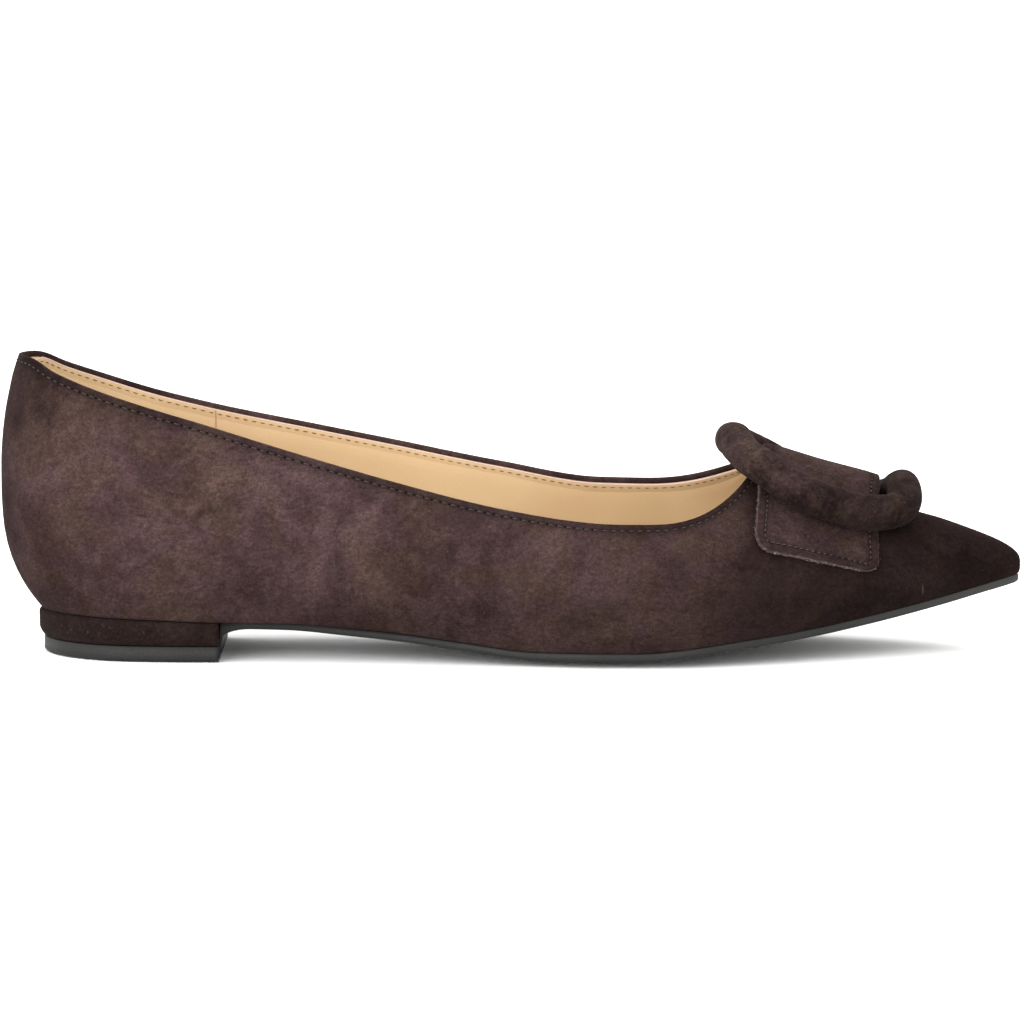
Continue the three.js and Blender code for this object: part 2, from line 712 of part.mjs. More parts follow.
function ringGeometry() {
  let path = ringPath();
  for (let pass = 0; pass < RING_EVENING; pass += 1) path = evened(path);
  const up = new THREE.Vector3(0, 0, 1);
  const rows = path.map((middle, k) => {
    const before = path[(k + RING_ROWS - 1) % RING_ROWS];
    const after = path[(k + 1) % RING_ROWS];
    const tangent = after.clone().sub(before).normalize();
    const outward = tangent.clone().cross(up).normalize();
    const over = outward.clone().cross(tangent);
    const row = [];
    for (let corner = 0; corner <= TUBE_SIDES; corner += 1) {
      const angle = ((corner % TUBE_SIDES) / TUBE_SIDES) * 2 * Math.PI;
      const spot = middle.clone().addScaledVector(outward, (Math.cos(angle) * TUBE) / 2);
      row.push(spot.addScaledVector(over, (Math.sin(angle) * TUBE) / 2));
    }
    return row;
  });
  const surface = new Surface();
  rows.forEach((row, k) => surface.strip(row, rows[(k + 1) % RING_ROWS], -1));
  return surface.geometry();
}

// Buckle strap: under one side bar, over the vamp inside the ring, under the other, a flap at each end
const strapFront = ringRear + RING_LENGTH - TUBE / 2 - STRAP_TO_BAR;
const STRAP_ROWS = 7;
const ACROSS_ROWS = 14;
const ACROSS_CROWDING = 1.25; // more than 1 brings the rows closer together near the ends
const FLARE_BEND = 1.5; // more than 1 keeps the strap narrow inside the ring
const FREE_FROM = 0.75; // share of the half strap where the flap begins to stand off the vamp

// Half width of the arch, which follows the rounded window of the ring
function archReach(along) {
  const share = Math.min(Math.abs(along - ringMiddle) / (RING_LENGTH / 2 - TUBE / 2), 1);
  const window = (RING_WIDTH / 2 - TUBE / 2) * (1 - share ** RING_SQUARENESS) ** (1 / RING_SQUARENESS);
  return window + STRAP_TUCK;
}

// across runs from -1 at the end of the outer flap over 0 at the crest to 1 at the end of the inner one
function strapSpot(along, across, lift) {
  const side = across < 0 ? LATERAL : MEDIAL;
  const place = placeOf(along);
  const share = (strapFront - along) / STRAP_WIDTH;
  const drop = FLAP_DROP_FRONT + (FLAP_DROP_REAR - FLAP_DROP_FRONT) * share;
  const endLevel = levelOfHeight(side, place, crestHeight(along) - drop);
  const level = CREST - (CREST - endLevel) * Math.abs(across);
  const out = Math.abs(lastPoint(side, place, level).y - ridgeAt(place));
  const rise = STRAP_RISE_FRONT + (STRAP_RISE_REAR - STRAP_RISE_FRONT) * share;
  const arch = rise * Math.cos((Math.min(out / archReach(along), 1) * Math.PI) / 2) ** 2;
  const freeEdge = FLAP_LIFT * Math.max(0, (Math.abs(across) - FREE_FROM) / (1 - FREE_FROM)) ** 2;
  return raisedPoint(side, place, level, GAP + arch + freeEdge + lift);
}

// Rear and front edge of the strap, which the flap's rounded corners cut short at its ends
function strapEdges(across) {
  const middle = strapFront - STRAP_WIDTH / 2;
  const end = strapSpot(middle, Math.sign(across) || 1, 0);
  const inside = Math.max(0, FLAP_CORNER - strapSpot(middle, across, 0).distanceTo(end));
  const cut = FLAP_CORNER - Math.sqrt(FLAP_CORNER * FLAP_CORNER - inside * inside);
  const flare = STRAP_FLARE * Math.abs(across) ** FLARE_BEND;
  return [strapFront - STRAP_WIDTH - flare + cut, strapFront - cut];
}

function strapGeometry() {
  const rowsAcross = [];
  for (let row = -ACROSS_ROWS; row <= ACROSS_ROWS; row += 1) {
    const across = Math.sign(row) * (1 - (1 - Math.abs(row) / ACROSS_ROWS) ** ACROSS_CROWDING);
    const [rear, front] = strapEdges(across);
    const points = [];
    for (let k = 0; k <= STRAP_ROWS; k += 1) {
      points.push([rear + ((front - rear) * k) / STRAP_ROWS, across]);
    }
    const below = points.map(([along, spot]) => strapSpot(along, spot, 0));
    const above = points.map(([along, spot]) => strapSpot(along, spot, STRAP));
    rowsAcross.push([...below, ...above.reverse(), below[0]]);
  }
  const surface = new Surface();
  for (let k = 0; k < rowsAcross.length - 1; k += 1) surface.strip(rowsAcross[k], rowsAcross[k + 1], -1);
  surface.cap(rowsAcross[0].slice(0, -1), 1);
  surface.cap(rowsAcross.at(-1).slice(0, -1), -1);
  return surface.geometry();
}

// Materials
const suede = new THREE.MeshStandardMaterial({ color: 0x33261f, roughness: 0.95, metalness: 0 });
const tanLeather = new THREE.MeshStandardMaterial({ color: 0xb08a68, roughness: 0.6, metalness: 0 });
const darkRubber = new THREE.MeshStandardMaterial({ color: 0x2b2a2b, roughness: 0.7, metalness: 0 });

const shoe = new THREE.Group();

function addPiece(name, geometry, material) {
  const piece = new THREE.Mesh(geometry, material);
  piece.name = name;
  shoe.add(piece);
}

addPiece('upper', upperGeometry(), suede);
addPiece('insole', plate(sectionPlaces(0, TOE_END), insoleProfile), tanLeather);
addPiece('outsole', outsoleGeometry(), darkRubber);
addPiece('heel', plate(heelPlaces, heelProfile, true), suede);
addPiece('top_piece', plate(heelPlaces, topPieceProfile, true), darkRubber);
addPiece('buckle_ring', ringGeometry(), suede);
addPiece('buckle_strap', strapGeometry(), suede);

// The shoe stands with the middle of its own footprint over the origin
const middle = new THREE.Box3().setFromObject(shoe).getCenter(new THREE.Vector3());
shoe.position.set(-middle.x, -middle.y, 0);

export default shoe;
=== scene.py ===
import math
import random

import bpy
import numpy as np
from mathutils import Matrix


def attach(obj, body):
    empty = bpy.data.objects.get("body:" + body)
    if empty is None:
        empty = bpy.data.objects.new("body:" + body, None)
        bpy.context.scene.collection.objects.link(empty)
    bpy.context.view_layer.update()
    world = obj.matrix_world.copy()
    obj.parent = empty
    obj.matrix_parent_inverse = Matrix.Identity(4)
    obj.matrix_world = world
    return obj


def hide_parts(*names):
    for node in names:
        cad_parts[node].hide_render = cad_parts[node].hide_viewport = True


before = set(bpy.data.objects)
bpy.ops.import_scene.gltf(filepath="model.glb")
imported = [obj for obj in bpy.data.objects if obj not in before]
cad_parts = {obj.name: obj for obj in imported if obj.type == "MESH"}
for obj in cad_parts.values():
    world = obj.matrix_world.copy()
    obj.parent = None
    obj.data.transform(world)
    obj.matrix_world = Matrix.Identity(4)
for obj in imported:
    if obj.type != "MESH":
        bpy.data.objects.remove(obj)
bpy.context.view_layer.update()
random.seed(4)
bpy.context.scene.view_settings.view_transform = "Standard"

# Upper: one piece of dark brown suede, closed by a seam at the back of the heel, pulled over the
# last and cemented under the insole. Its top edge is turned in and stitched down all round.
# Sizes are in millimetres from the back of the shoe, and the tables are shares of them.
LENGTH = 265
BALL_WIDTH = 72.3
SEAT_HEIGHT = 11.6
TOE_SPRING = 16.2
INSTEP_HEIGHT = 49.5
BACK_HEIGHT = 77.3
BELLY_HEIGHT = 35.4
BACK_SWELL = 10.3
SIDE_SWELL = 8
RIDGE_SHIFT = 2.5
UNDERCUT = 3
SOLE_CROWN = 1.7
FLAT_SHARE = 0.45
WALL = 1.8
INSOLE = 2
SOLE = 1.9
GAP = 0.3
THROAT = 196.5
THROAT_DEPTH = 30.5
THROAT_SQUARENESS = {-1: 2.9, 1: 2.7}
OUTER, INNER, CREST = -1, 1, 2
SHIFT = np.array([-132.5122, 0.9678, 0])
# along, fan, outer and inner width, ridge, back, outer and inner swell, belly, full, lean
SECTIONS = np.array([
    (0.0389, 0.097, 0, 0, 0, 1, 0, 0, 1, 2, 1),
    (0.0558, 0.083, 0.173, 0.173, 0, 0.82, 0.02, 0.02, 0.98, 2, 1),
    (0.0962, 0.0566, 0.301, 0.299, 0, 0.48, 0.1, 0.1, 0.93, 2, 1),
    (0.1585, 0.017, 0.353, 0.35, 0.02, 0.16, 0.25, 0.25, 0.84, 2, 1),
    (0.217, 0, 0.36, 0.343, 0.08, 0, 0.4, 0.42, 0.73, 2, 1),
    (0.3208, 0, 0.373, 0.311, 0.3, 0, 0.55, 0.85, 0.57, 2, 1),
    (0.4151, 0, 0.408, 0.304, 0.6, 0, 0.6, 1, 0.47, 2, 1),
    (0.5094, 0, 0.463, 0.36, 0.9, 0, 0.5, 0.8, 0.4, 2, 1),
    (0.5925, 0, 0.512, 0.443, 1, 0, 0.35, 0.5, 0.34, 2, 1.08),
    (0.6642, 0, 0.512, 0.488, 1, 0, 0.28, 0.32, 0.3, 2, 1.25),
    (0.7283, 0, 0.456, 0.477, 0.95, 0, 0.27, 0.28, 0.27, 2, 1.45),
    (0.7925, 0, 0.367, 0.415, 0.85, 0, 0.27, 0.26, 0.24, 2, 1.6),
    (0.8566, 0, 0.27, 0.318, 0.65, 0, 0.25, 0.24, 0.2, 2, 1.6),
    (0.917, 0, 0.17, 0.201, 0.35, 0, 0.2, 0.2, 0.16, 2.1, 1.35),
    (0.9642, -0.0226, 0.091, 0.102, 0.1, 0, 0.16, 0.16, 0.115, 2.4, 1.1),
    (0.9887, -0.0395, 0.039, 0.041, 0, 0, 0.11, 0.11, 0.075, 3, 1),
    (0.9984, -0.0475, 0, 0, 0, 0, 0.055, 0.055, 0.06, 3.4, 1),
])
CREST_LINE = np.array([
    (0, 2.16), (0.15, 2.14), (0.217, 2.04), (0.3208, 1.82), (0.4151, 1.62), (0.5094, 1.41),
    (0.5925, 1.23), (0.6642, 1.11), (0.7415, 1), (0.8113, 0.874), (0.8634, 0.777),
    (0.9208, 0.693), (0.9604, 0.622), (1, 0.545),
])
TOPLINE = np.array([
    (0, 1, 1), (0.03, 0.996, 0.996), (0.058, 0.953, 0.951), (0.097, 0.904, 0.9),
    (0.1366, 0.86, 0.855), (0.1951, 0.799, 0.805), (0.3128, 0.677, 0.722), (0.3913, 0.602, 0.668),
    (0.4894, 0.521, 0.599), (0.5875, 0.473, 0.542), (0.65, 0.466, 0.54),
])
# along, arch, spring, crown, waist
BOTTOM = np.array([
    (0, 1, 0, 0, 0.4), (0.0981, 0.96, 0, 0, 0.45), (0.1547, 0.9, 0, 0, 0.5),
    (0.2151, 0.83, 0, 0, 0.6), (0.2868, 0.81, 0, 0.25, 0.62), (0.34, 0.69, 0, 0.5, 0.42),
    (0.3962, 0.52, 0, 0.7, 0.24), (0.4528, 0.275, 0, 0.9, 0.12), (0.5283, 0, 0, 1, 0.05),
    (0.6226, 0, 0, 1, 0.04), (0.6868, 0, 0.1, 0.95, 0.04), (0.7245, 0, 0.175, 0.88, 0.04),
    (0.7642, 0, 0.25, 0.78, 0.04), (0.8415, 0, 0.45, 0.55, 0.04), (0.9208, 0, 0.71, 0.3, 0.04),
    (0.9604, 0, 0.86, 0.15, 0.03), (1, 0, 1, 0, 0),
])


def smooth_curve(knots, values, ends=None):
    """A curve through the values that stays level where they turn."""
    knots, values = np.asarray(knots, float), np.asarray(values, float)
    steps = np.diff(knots)
    slopes = np.diff(values) / steps
    before, after = np.r_[slopes[0], slopes], np.r_[slopes, slopes[-1]]
    step_before, step_after = np.r_[steps[0], steps], np.r_[steps, steps[-1]]
    if ends is not None:
        before[0] = (values[0] - ends[0]) / steps[0]
        after[-1] = (ends[1] - values[-1]) / steps[-1]
    tangents = (before * step_after + after * step_before) / (step_before + step_after)
    steepest = 3 * np.minimum(abs(before), abs(after))
    tangents = np.sign(tangents) * np.minimum(abs(tangents), steepest)
    tangents[before * after <= 0] = 0

    def curve(position):
        inside = np.clip(position, knots[0], knots[-1])
        k = np.clip(np.searchsorted(knots, inside) - 1, 0, len(steps) - 1)
        t = (inside - knots[k]) / steps[k]
        rise = t * t * (3 - 2 * t)
        bends = tangents[k] * t * (1 - t) ** 2 + tangents[k + 1] * t * t * (t - 1)
        return values[k] * (1 - rise) + values[k + 1] * rise + steps[k] * bends

    return curve


def along_shoe(table, column, scale):
    return smooth_curve(table[:, 0] * LENGTH, table[:, column] * scale)


crest_height = along_shoe(CREST_LINE, 1, INSTEP_HEIGHT)
topline_height = {OUTER: along_shoe(TOPLINE, 1, BACK_HEIGHT), INNER: along_shoe(TOPLINE, 2, BACK_HEIGHT)}
ball_base = SOLE_CROWN + SOLE + GAP
arch_rise = along_shoe(BOTTOM, 1, SEAT_HEIGHT - ball_base)
spring_rise = along_shoe(BOTTOM, 2, TOE_SPRING)
crown_depth = along_shoe(BOTTOM, 3, SOLE_CROWN)
sole_inset = along_shoe(BOTTOM, 4, SIDE_SWELL)

steps_along = np.diff(SECTIONS[:, 0]) * LENGTH
steps_across = (np.diff(SECTIONS[:, 2]) + np.diff(SECTIONS[:, 3])) * BALL_WIDTH / 2
section_places = np.r_[0, np.cumsum(np.hypot(steps_along, steps_across))]
TOE_END = section_places[-1]


def around_shoe(column, scale, other=None, turned=1):
    other = column if other is None else other
    ends = (SECTIONS[1, other] * scale * turned, SECTIONS[-2, other] * scale * turned)
    return smooth_curve(section_places, SECTIONS[:, column] * scale, ends)


along_at, fan_at = around_shoe(0, LENGTH), around_shoe(1, LENGTH)
outer_width, inner_width = around_shoe(2, BALL_WIDTH, 3, -1), around_shoe(3, BALL_WIDTH, 2, -1)
ridge_at, back_at = around_shoe(4, RIDGE_SHIFT), around_shoe(5, BACK_SWELL)
outer_swell, inner_swell = around_shoe(6, SIDE_SWELL, 7), around_shoe(7, SIDE_SWELL, 6)
belly_at, full_at, lean_at = around_shoe(8, BELLY_HEIGHT), around_shoe(9, 1), around_shoe(10, 1)


def bottom_height(along, spread):
    """Height of the last's bottom: spread is 0 on the ridge and 1 on the feather line."""
    past = np.maximum(0, (np.minimum(spread, 1) - FLAT_SHARE) / (1 - FLAT_SHARE))
    return ball_base + arch_rise(along) + spring_rise(along) - crown_depth(along) * (1 - past * past)


def section(side, place):
    side, place = np.broadcast_arrays(np.asarray(side, float), np.asarray(place, float))
    beyond = (place < 0) | (place > TOE_END)
    side = np.where(beyond, -side, side)
    place = np.where(place > TOE_END, 2 * TOE_END - place, abs(place))
    along = along_at(place)
    width = np.where(side < 0, outer_width(place), inner_width(place))
    pole = np.stack([along + fan_at(place), ridge_at(place)], -1)
    ray = np.stack([along, side * width], -1) - pole
    reach = np.linalg.norm(ray, axis=-1)
    swell = back_at(place) + np.where(side < 0, outer_swell(place), inner_swell(place))
    return {"pole": pole, "ray": ray / reach[..., None], "reach": reach, "swell": swell, "place": place,
            "feather": bottom_height(along, 1), "belly": belly_at(place)}


def on_ray(cut, out, height):
    spot = cut["pole"] + cut["ray"] * np.asarray(out)[..., None]
    return np.concatenate([spot, np.broadcast_to(height, spot.shape[:-1])[..., None]], -1)


def on_bottom(cut, out, rise, spread=None):
    point = on_ray(cut, out, 0)
    point[..., 2] = bottom_height(point[..., 0], out / cut["reach"] if spread is None else spread) + rise
    return point


def last_point(side, place, level):
    """A point on the last: level is 0 on the feather line, 1 on the widest line, 2 on the crest."""
    cut = section(side, place)
    low = np.clip(level, 0, 1)
    angle = (np.clip(level, 1, 2) - 1) * math.pi / 2
    power = 2 / full_at(cut["place"])
    out_low = cut["reach"] + cut["swell"] * (1 - (1 - low) ** UNDERCUT)
    out_high = (cut["reach"] + cut["swell"]) * np.maximum(np.cos(angle), 0) ** power
    point = on_ray(cut, np.where(level <= 1, out_low, out_high), 0)
    belly_line = cut["feather"] + cut["belly"]
    rise = np.sin(angle) ** (power * lean_at(cut["place"]))
    high = belly_line + (crest_height(point[..., 0]) - belly_line) * rise
    point[..., 2] = np.where(level <= 1, cut["feather"] + cut["belly"] * low, high)
    return point


NUDGE = 0.001


def unit(vectors):
    return vectors / np.maximum(np.linalg.norm(vectors, axis=-1, keepdims=True), 1e-12)


def last_normal(side, place, level):
    level = np.clip(level, NUDGE, CREST - NUDGE)
    ahead = last_point(side, place + NUDGE, level) - last_point(side, place - NUDGE, level)
    upward = last_point(side, place, level + NUDGE) - last_point(side, place, level - NUDGE)
    return unit(np.cross(upward, ahead) * np.asarray(side, float)[..., None])


def raised_point(side, place, level, lift):
    return last_point(side, place, level) + last_normal(side, place, level) * np.asarray(lift)[..., None]


def search(low, high, rising):
    low, high = np.broadcast_arrays(np.asarray(low, float), np.asarray(high, float))
    for _ in range(36):
        middle = (low + high) / 2
        below = rising(middle) < 0
        low, high = np.where(below, middle, low), np.where(below, high, middle)
    return (low + high) / 2


def place_of(along):
    return search(np.zeros_like(along, float), TOE_END, lambda place: along_at(place) - along)


def level_of_height(side, place, height):
    return search(np.zeros_like(height, float), CREST, lambda level: last_point(side, place, level)[..., 2] - height)


throat_start, throat_place = (float(place_of(np.array(x))) for x in (THROAT - THROAT_DEPTH, THROAT))


def plain_topline_level(side, place):
    def above(level):
        point = last_point(side, place, level)
        return point[..., 2] - topline_height[side](point[..., 0])
    return search(np.ones_like(place, float), CREST, above)


def topline_level(side, place):
    share = np.clip((along_at(place) - (THROAT - THROAT_DEPTH)) / THROAT_DEPTH, 0, 1)
    turn = 1 - np.sqrt(np.maximum(0, 1 - share ** THROAT_SQUARENESS[side]))
    plain = plain_topline_level(side, np.minimum(place, throat_place))
    return np.where(place >= throat_place, CREST, plain + (CREST - plain) * turn)


def mesh_piece(name, points, faces, material, uv=None):
    """A smooth mesh from points in millimetres."""
    mesh = bpy.data.meshes.new(name)
    mesh.from_pydata(((np.asarray(points).reshape(-1, 3) + SHIFT) / 1000).tolist(), [], faces)
    if uv is not None:
        corner_points = np.zeros(len(mesh.loops), int)
        mesh.loops.foreach_get("vertex_index", corner_points)
        layer = mesh.uv_layers.new(name="stitch_line")
        layer.data.foreach_set("uv", np.asarray(uv, float).reshape(-1, 2)[corner_points].ravel())
    piece = bpy.data.objects.new(name, mesh)
    bpy.context.scene.collection.objects.link(piece)
    mesh.polygons.foreach_set("use_smooth", [True] * len(mesh.polygons))
    mesh.materials.append(material)
    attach(piece, "root")
    return piece


def grid_faces(rows, columns, start=0, closed=False, turned=False):
    """Faces of a grid of points stored column by column."""
    faces = []
    for c in range(columns if closed else columns - 1):
        here, there = start + c * rows, start + ((c + 1) % columns) * rows
        for r in range(rows - 1):
            face = (here + r, there + r, there + r + 1, here + r + 1)
            faces.append(face[::-1] if turned else face)
    return faces


def new_group(name, inputs, outputs):
    group = bpy.data.node_groups.new(name, "ShaderNodeTree")
    for label, kind, value in inputs:
        socket = group.interface.new_socket(label, in_out="INPUT", socket_type="NodeSocket" + kind)
        if value is not None:
            socket.default_value = value
    for label, kind in outputs:
        group.interface.new_socket(label, in_out="OUTPUT", socket_type="NodeSocket" + kind)
    return group, group.nodes.new("NodeGroupInput"), group.nodes.new("NodeGroupOutput")


def add_node(tree, kind, settings=None, **inputs):
    """A node with its settings, whose inputs take a value or another node's output."""
    node = tree.nodes.new("ShaderNode" + kind)
    for key, value in (settings or {}).items():
        setattr(node, key, value)
    for key, value in inputs.items():
        socket = node.inputs[int(key[1:])] if key[0] == "i" and key[1:].isdigit() else node.inputs[key.replace("_", " ")]
        if isinstance(value, bpy.types.NodeSocket):
            tree.links.new(value, socket)
        else:
            socket.default_value = value
    return node


def math_node(tree, operation, a, b=0.0, clamp=False):
    return add_node(tree, "Math", {"operation": operation, "use_clamp": clamp}, i0=a, i1=b).outputs[0]


def blend_colours(tree, factor, a, b, kind="MIX"):
    node = add_node(tree, "Mix", {"data_type": "RGBA", "blend_type": kind}, i0=factor, i6=a, i7=b)
    return node.outputs[2]


def span(tree, value, low, high, to_low=0.0, to_high=1.0):
    return add_node(tree, "MapRange", None, Value=value, From_Min=low, From_Max=high,
                    To_Min=to_low, To_Max=to_high).outputs[0]


def grey_noise(tree, place, scale, detail=2.0, rough=0.5, distortion=0.0):
    return add_node(tree, "TexNoise", None, Vector=place, Scale=scale, Detail=detail,
                    Roughness=rough, Distortion=distortion).outputs[0]


# Brushed nap: broad pale and dark patches where the nap lies one way or the other, streaks and grain
nap, nap_in, nap_out = new_group(
    "Suede nap",
    [("Place", "Vector", None), ("Colour", "Color", (0.05, 0.03, 0.03, 1)), ("Brushed", "Color", (0.1, 0.07, 0.06, 1)),
     ("Patch size", "Float", 0.02), ("Contrast", "Float", 0.6)],
    [("Colour", "Color"), ("Rough", "Float"), ("Height", "Float")])
patch_scale = math_node(nap, "DIVIDE", 1.0, nap_in.outputs["Patch size"])
broad = grey_noise(nap, nap_in.outputs["Place"], patch_scale, 4, 0.62, 1.2)
fine = grey_noise(nap, nap_in.outputs["Place"], math_node(nap, "MULTIPLY", patch_scale, 5.0), 3, 0.6, 0.6)
patches = span(nap, math_node(nap, "ADD", math_node(nap, "MULTIPLY", broad, 0.68), math_node(nap, "MULTIPLY", fine, 0.32)), 0.4, 0.62)
streaked = add_node(nap, "Mapping", None, Vector=nap_in.outputs["Place"], Scale=(700, 900, 1100)).outputs[0]
streaks = grey_noise(nap, streaked, 1, 3, 0.6)
grain = grey_noise(nap, nap_in.outputs["Place"], 1900, 2, 0.6)
flecks = span(nap, grey_noise(nap, nap_in.outputs["Place"], 900, 1, 0.4), 0.66, 0.78)
brushed = math_node(nap, "MULTIPLY", patches, nap_in.outputs["Contrast"])
tone = blend_colours(nap, brushed, nap_in.outputs["Colour"], nap_in.outputs["Brushed"])
hue = span(nap, grey_noise(nap, nap_in.outputs["Place"], math_node(nap, "MULTIPLY", patch_scale, 1.7), 2, 0.5, 1.0), 0.42, 0.6)
tone = blend_colours(nap, 1.0, tone, blend_colours(nap, hue, (0.995, 0.97, 1.05, 1), (1.01, 1.02, 0.93, 1)), "MULTIPLY")
shade = math_node(nap, "MULTIPLY", span(nap, streaks, 0.25, 0.75, 0.66, 1.34), span(nap, grain, 0.2, 0.8, 0.55, 1.45))
tone = blend_colours(nap, 1.0, tone, add_node(nap, "CombineColor", None, Red=shade, Green=shade, Blue=shade).outputs[0], "MULTIPLY")
tone = blend_colours(nap, math_node(nap, "MULTIPLY", flecks, 0.12), tone, (0.12, 0.09, 0.085, 1))
nap.links.new(tone, nap_out.inputs["Colour"])
nap.links.new(span(nap, patches, 0, 1, 0.98, 0.86), nap_out.inputs["Rough"])
height = math_node(nap, "ADD", math_node(nap, "MULTIPLY", grain, 0.6), math_node(nap, "MULTIPLY", streaks, 0.5))
nap.links.new(height, nap_out.inputs["Height"])

# Row of machine stitches at a distance from an edge: the thread's groove and the needle holes
row, row_in, row_out = new_group(
    "Stitch row",
    [("Along", "Float", 0.0), ("From edge", "Float", 0.0), ("Distance", "Float", 1.7), ("Pitch", "Float", 2.2),
     ("Hole", "Float", 0.35)],
    [("Groove", "Float"), ("Holes", "Float")])
off_line = math_node(row, "ABSOLUTE", math_node(row, "SUBTRACT", row_in.outputs["From edge"], row_in.outputs["Distance"]))
groove = span(row, off_line, 0.15, 0.8, 1, 0)
stitch_phase = math_node(row, "FRACT", math_node(row, "DIVIDE", row_in.outputs["Along"], row_in.outputs["Pitch"]))
from_hole = math_node(row, "MULTIPLY", math_node(row, "SUBTRACT", 0.5, math_node(
    row, "ABSOLUTE", math_node(row, "SUBTRACT", stitch_phase, 0.5))), row_in.outputs["Pitch"])
hole_distance = math_node(row, "SQRT", math_node(
    row, "ADD", math_node(row, "MULTIPLY", from_hole, from_hole), math_node(row, "MULTIPLY", off_line, off_line)))
holes = math_node(row, "SUBTRACT", 1.0, math_node(row, "DIVIDE", hole_distance, row_in.outputs["Hole"]), True)
row.links.new(groove, row_out.inputs["Groove"])
row.links.new(math_node(row, "MULTIPLY", holes, 2.0, True), row_out.inputs["Holes"])


def shade_ramp(tree, place, axis, stops):
    """Strength of the tone at distances along one axis of the shoe, in millimetres."""
    low, high = stops[0][0], stops[-1][0]
    shift = SHIFT[axis]
    along = add_node(tree, "SeparateXYZ", None, Vector=place).outputs[axis]
    ramp = add_node(tree, "ValToRGB", None, Fac=span(tree, along, (low + shift) / 1000, (high + shift) / 1000))
    ramp.color_ramp.interpolation = "EASE"
    while len(ramp.color_ramp.elements) < len(stops):
        ramp.color_ramp.elements.new(0.5)
    for element, (distance, strength) in zip(ramp.color_ramp.elements, stops):
        element.position = (distance - low) / (high - low)
        element.color = (strength, strength ** 1.06, strength ** 1.05, 1)
    return ramp.outputs[0]


def marked(tree, place, tone, marks):
    """The tone with soft dark marks of painted shade, and pale marks: each is an x, y and z, its length and height, and
    its strength.
    """
    for x, y, z, long, high, strength in marks:
        centre = tuple((np.array([x, y, z]) + SHIFT) / 1000)
        offset = add_node(tree, "VectorMath", {"operation": "SUBTRACT"}, i0=place, i1=centre).outputs[0]
        shares = add_node(tree, "VectorMath", {"operation": "MULTIPLY"}, i0=offset, i1=(1000 / long, 1000 / 12, 1000 / high)).outputs[0]
        uneven = math_node(tree, "MULTIPLY", grey_noise(tree, place, 260, 2, 0.6), 0.7)
        away = math_node(tree, "ADD", add_node(tree, "VectorMath", {"operation": "LENGTH"}, i0=shares).outputs["Value"], uneven)
        mask = math_node(tree, "MULTIPLY", span(tree, away, 0.4, 1.5, 1, 0), abs(strength) * 0.75)
        # Dark marks take a painted-shade tint, pale ones a lighter tone
        tint = (0.009, 0.0054, 0.0052, 1) if strength < 0 else (0.11, 0.085, 0.08, 1)
        tone = blend_colours(tree, mask, tone, tint)
    return tone


def suede(name, colour, brushed, patch=0.03, contrast=0.7, stitches=None, ahead=None, upward=None, marks=()):
    """Suede of one tone: stitches gives its row's distance from the edge and its pitch, and ahead
    and upward the strength of painted light and shade along the shoe and at each height."""
    material = bpy.data.materials.new(name)
    material.use_nodes = True
    tree = material.node_tree
    shader = tree.nodes["Principled BSDF"]
    place = add_node(tree, "TexCoord").outputs["Object"]
    nap_node = add_node(tree, "Group", {"node_tree": nap}, Place=place, Colour=(*colour, 1), Brushed=(*brushed, 1),
                        Patch_size=patch, Contrast=contrast)
    tone, height = nap_node.outputs["Colour"], nap_node.outputs["Height"]
    for axis, stops in ((0, ahead), (2, upward)):
        if stops:
            tone = blend_colours(tree, 1.0, tone, shade_ramp(tree, place, axis, stops), "MULTIPLY")
    tone = marked(tree, place, tone, marks)
    if stitches:
        line = add_node(tree, "UVMap", {"uv_map": "stitch_line"})
        axes = add_node(tree, "SeparateXYZ", None, Vector=line.outputs[0])
        stitch_row = add_node(tree, "Group", {"node_tree": row}, Along=axes.outputs[0], From_edge=axes.outputs[1],
                              Distance=stitches[0], Pitch=stitches[1], Hole=0.33)
        # Darker towards the stitched edge, over its first 4.5 mm
        edge_darkening = span(tree, axes.outputs[1], 0.5, 4.5, 0.62, 1)
        tone = blend_colours(tree, 1.0, tone, add_node(tree, "CombineColor", None, Red=edge_darkening, Green=edge_darkening, Blue=edge_darkening).outputs[0], "MULTIPLY")
        # The groove is painted darker, partly nap pressed by the thread and partly painted shade in it; the needle
        # holes are painted shade
        grooved = math_node(tree, "MULTIPLY", stitch_row.outputs["Groove"], 0.45)
        tone = blend_colours(tree, grooved, tone, (0.008, 0.005, 0.005, 1))
        tone = blend_colours(tree, stitch_row.outputs["Holes"], tone, (0.002, 0.0015, 0.0015, 1))
        sunk = math_node(tree, "ADD", math_node(tree, "MULTIPLY", stitch_row.outputs["Groove"], 1.2),
                         math_node(tree, "MULTIPLY", stitch_row.outputs["Holes"], 2.0))
        height = math_node(tree, "SUBTRACT", height, sunk)
    tree.links.new(tone, shader.inputs["Base Color"])
    tree.links.new(nap_node.outputs["Rough"], shader.inputs["Roughness"])
    bump = add_node(tree, "Bump", None, Strength=0.75, Distance=0.00025, Height=height)
    tree.links.new(bump.outputs[0], shader.inputs["Normal"])
    shader.inputs["Specular IOR Level"].default_value = 0.03
    shader.inputs["Sheen Weight"].default_value = 0.025
    shader.inputs["Sheen Roughness"].default_value = 0.45
    shader.inputs["Sheen Tint"].default_value = (0.62, 0.44, 0.4, 1)
    return material


EDGE_STITCH = (1.5, 2.3)
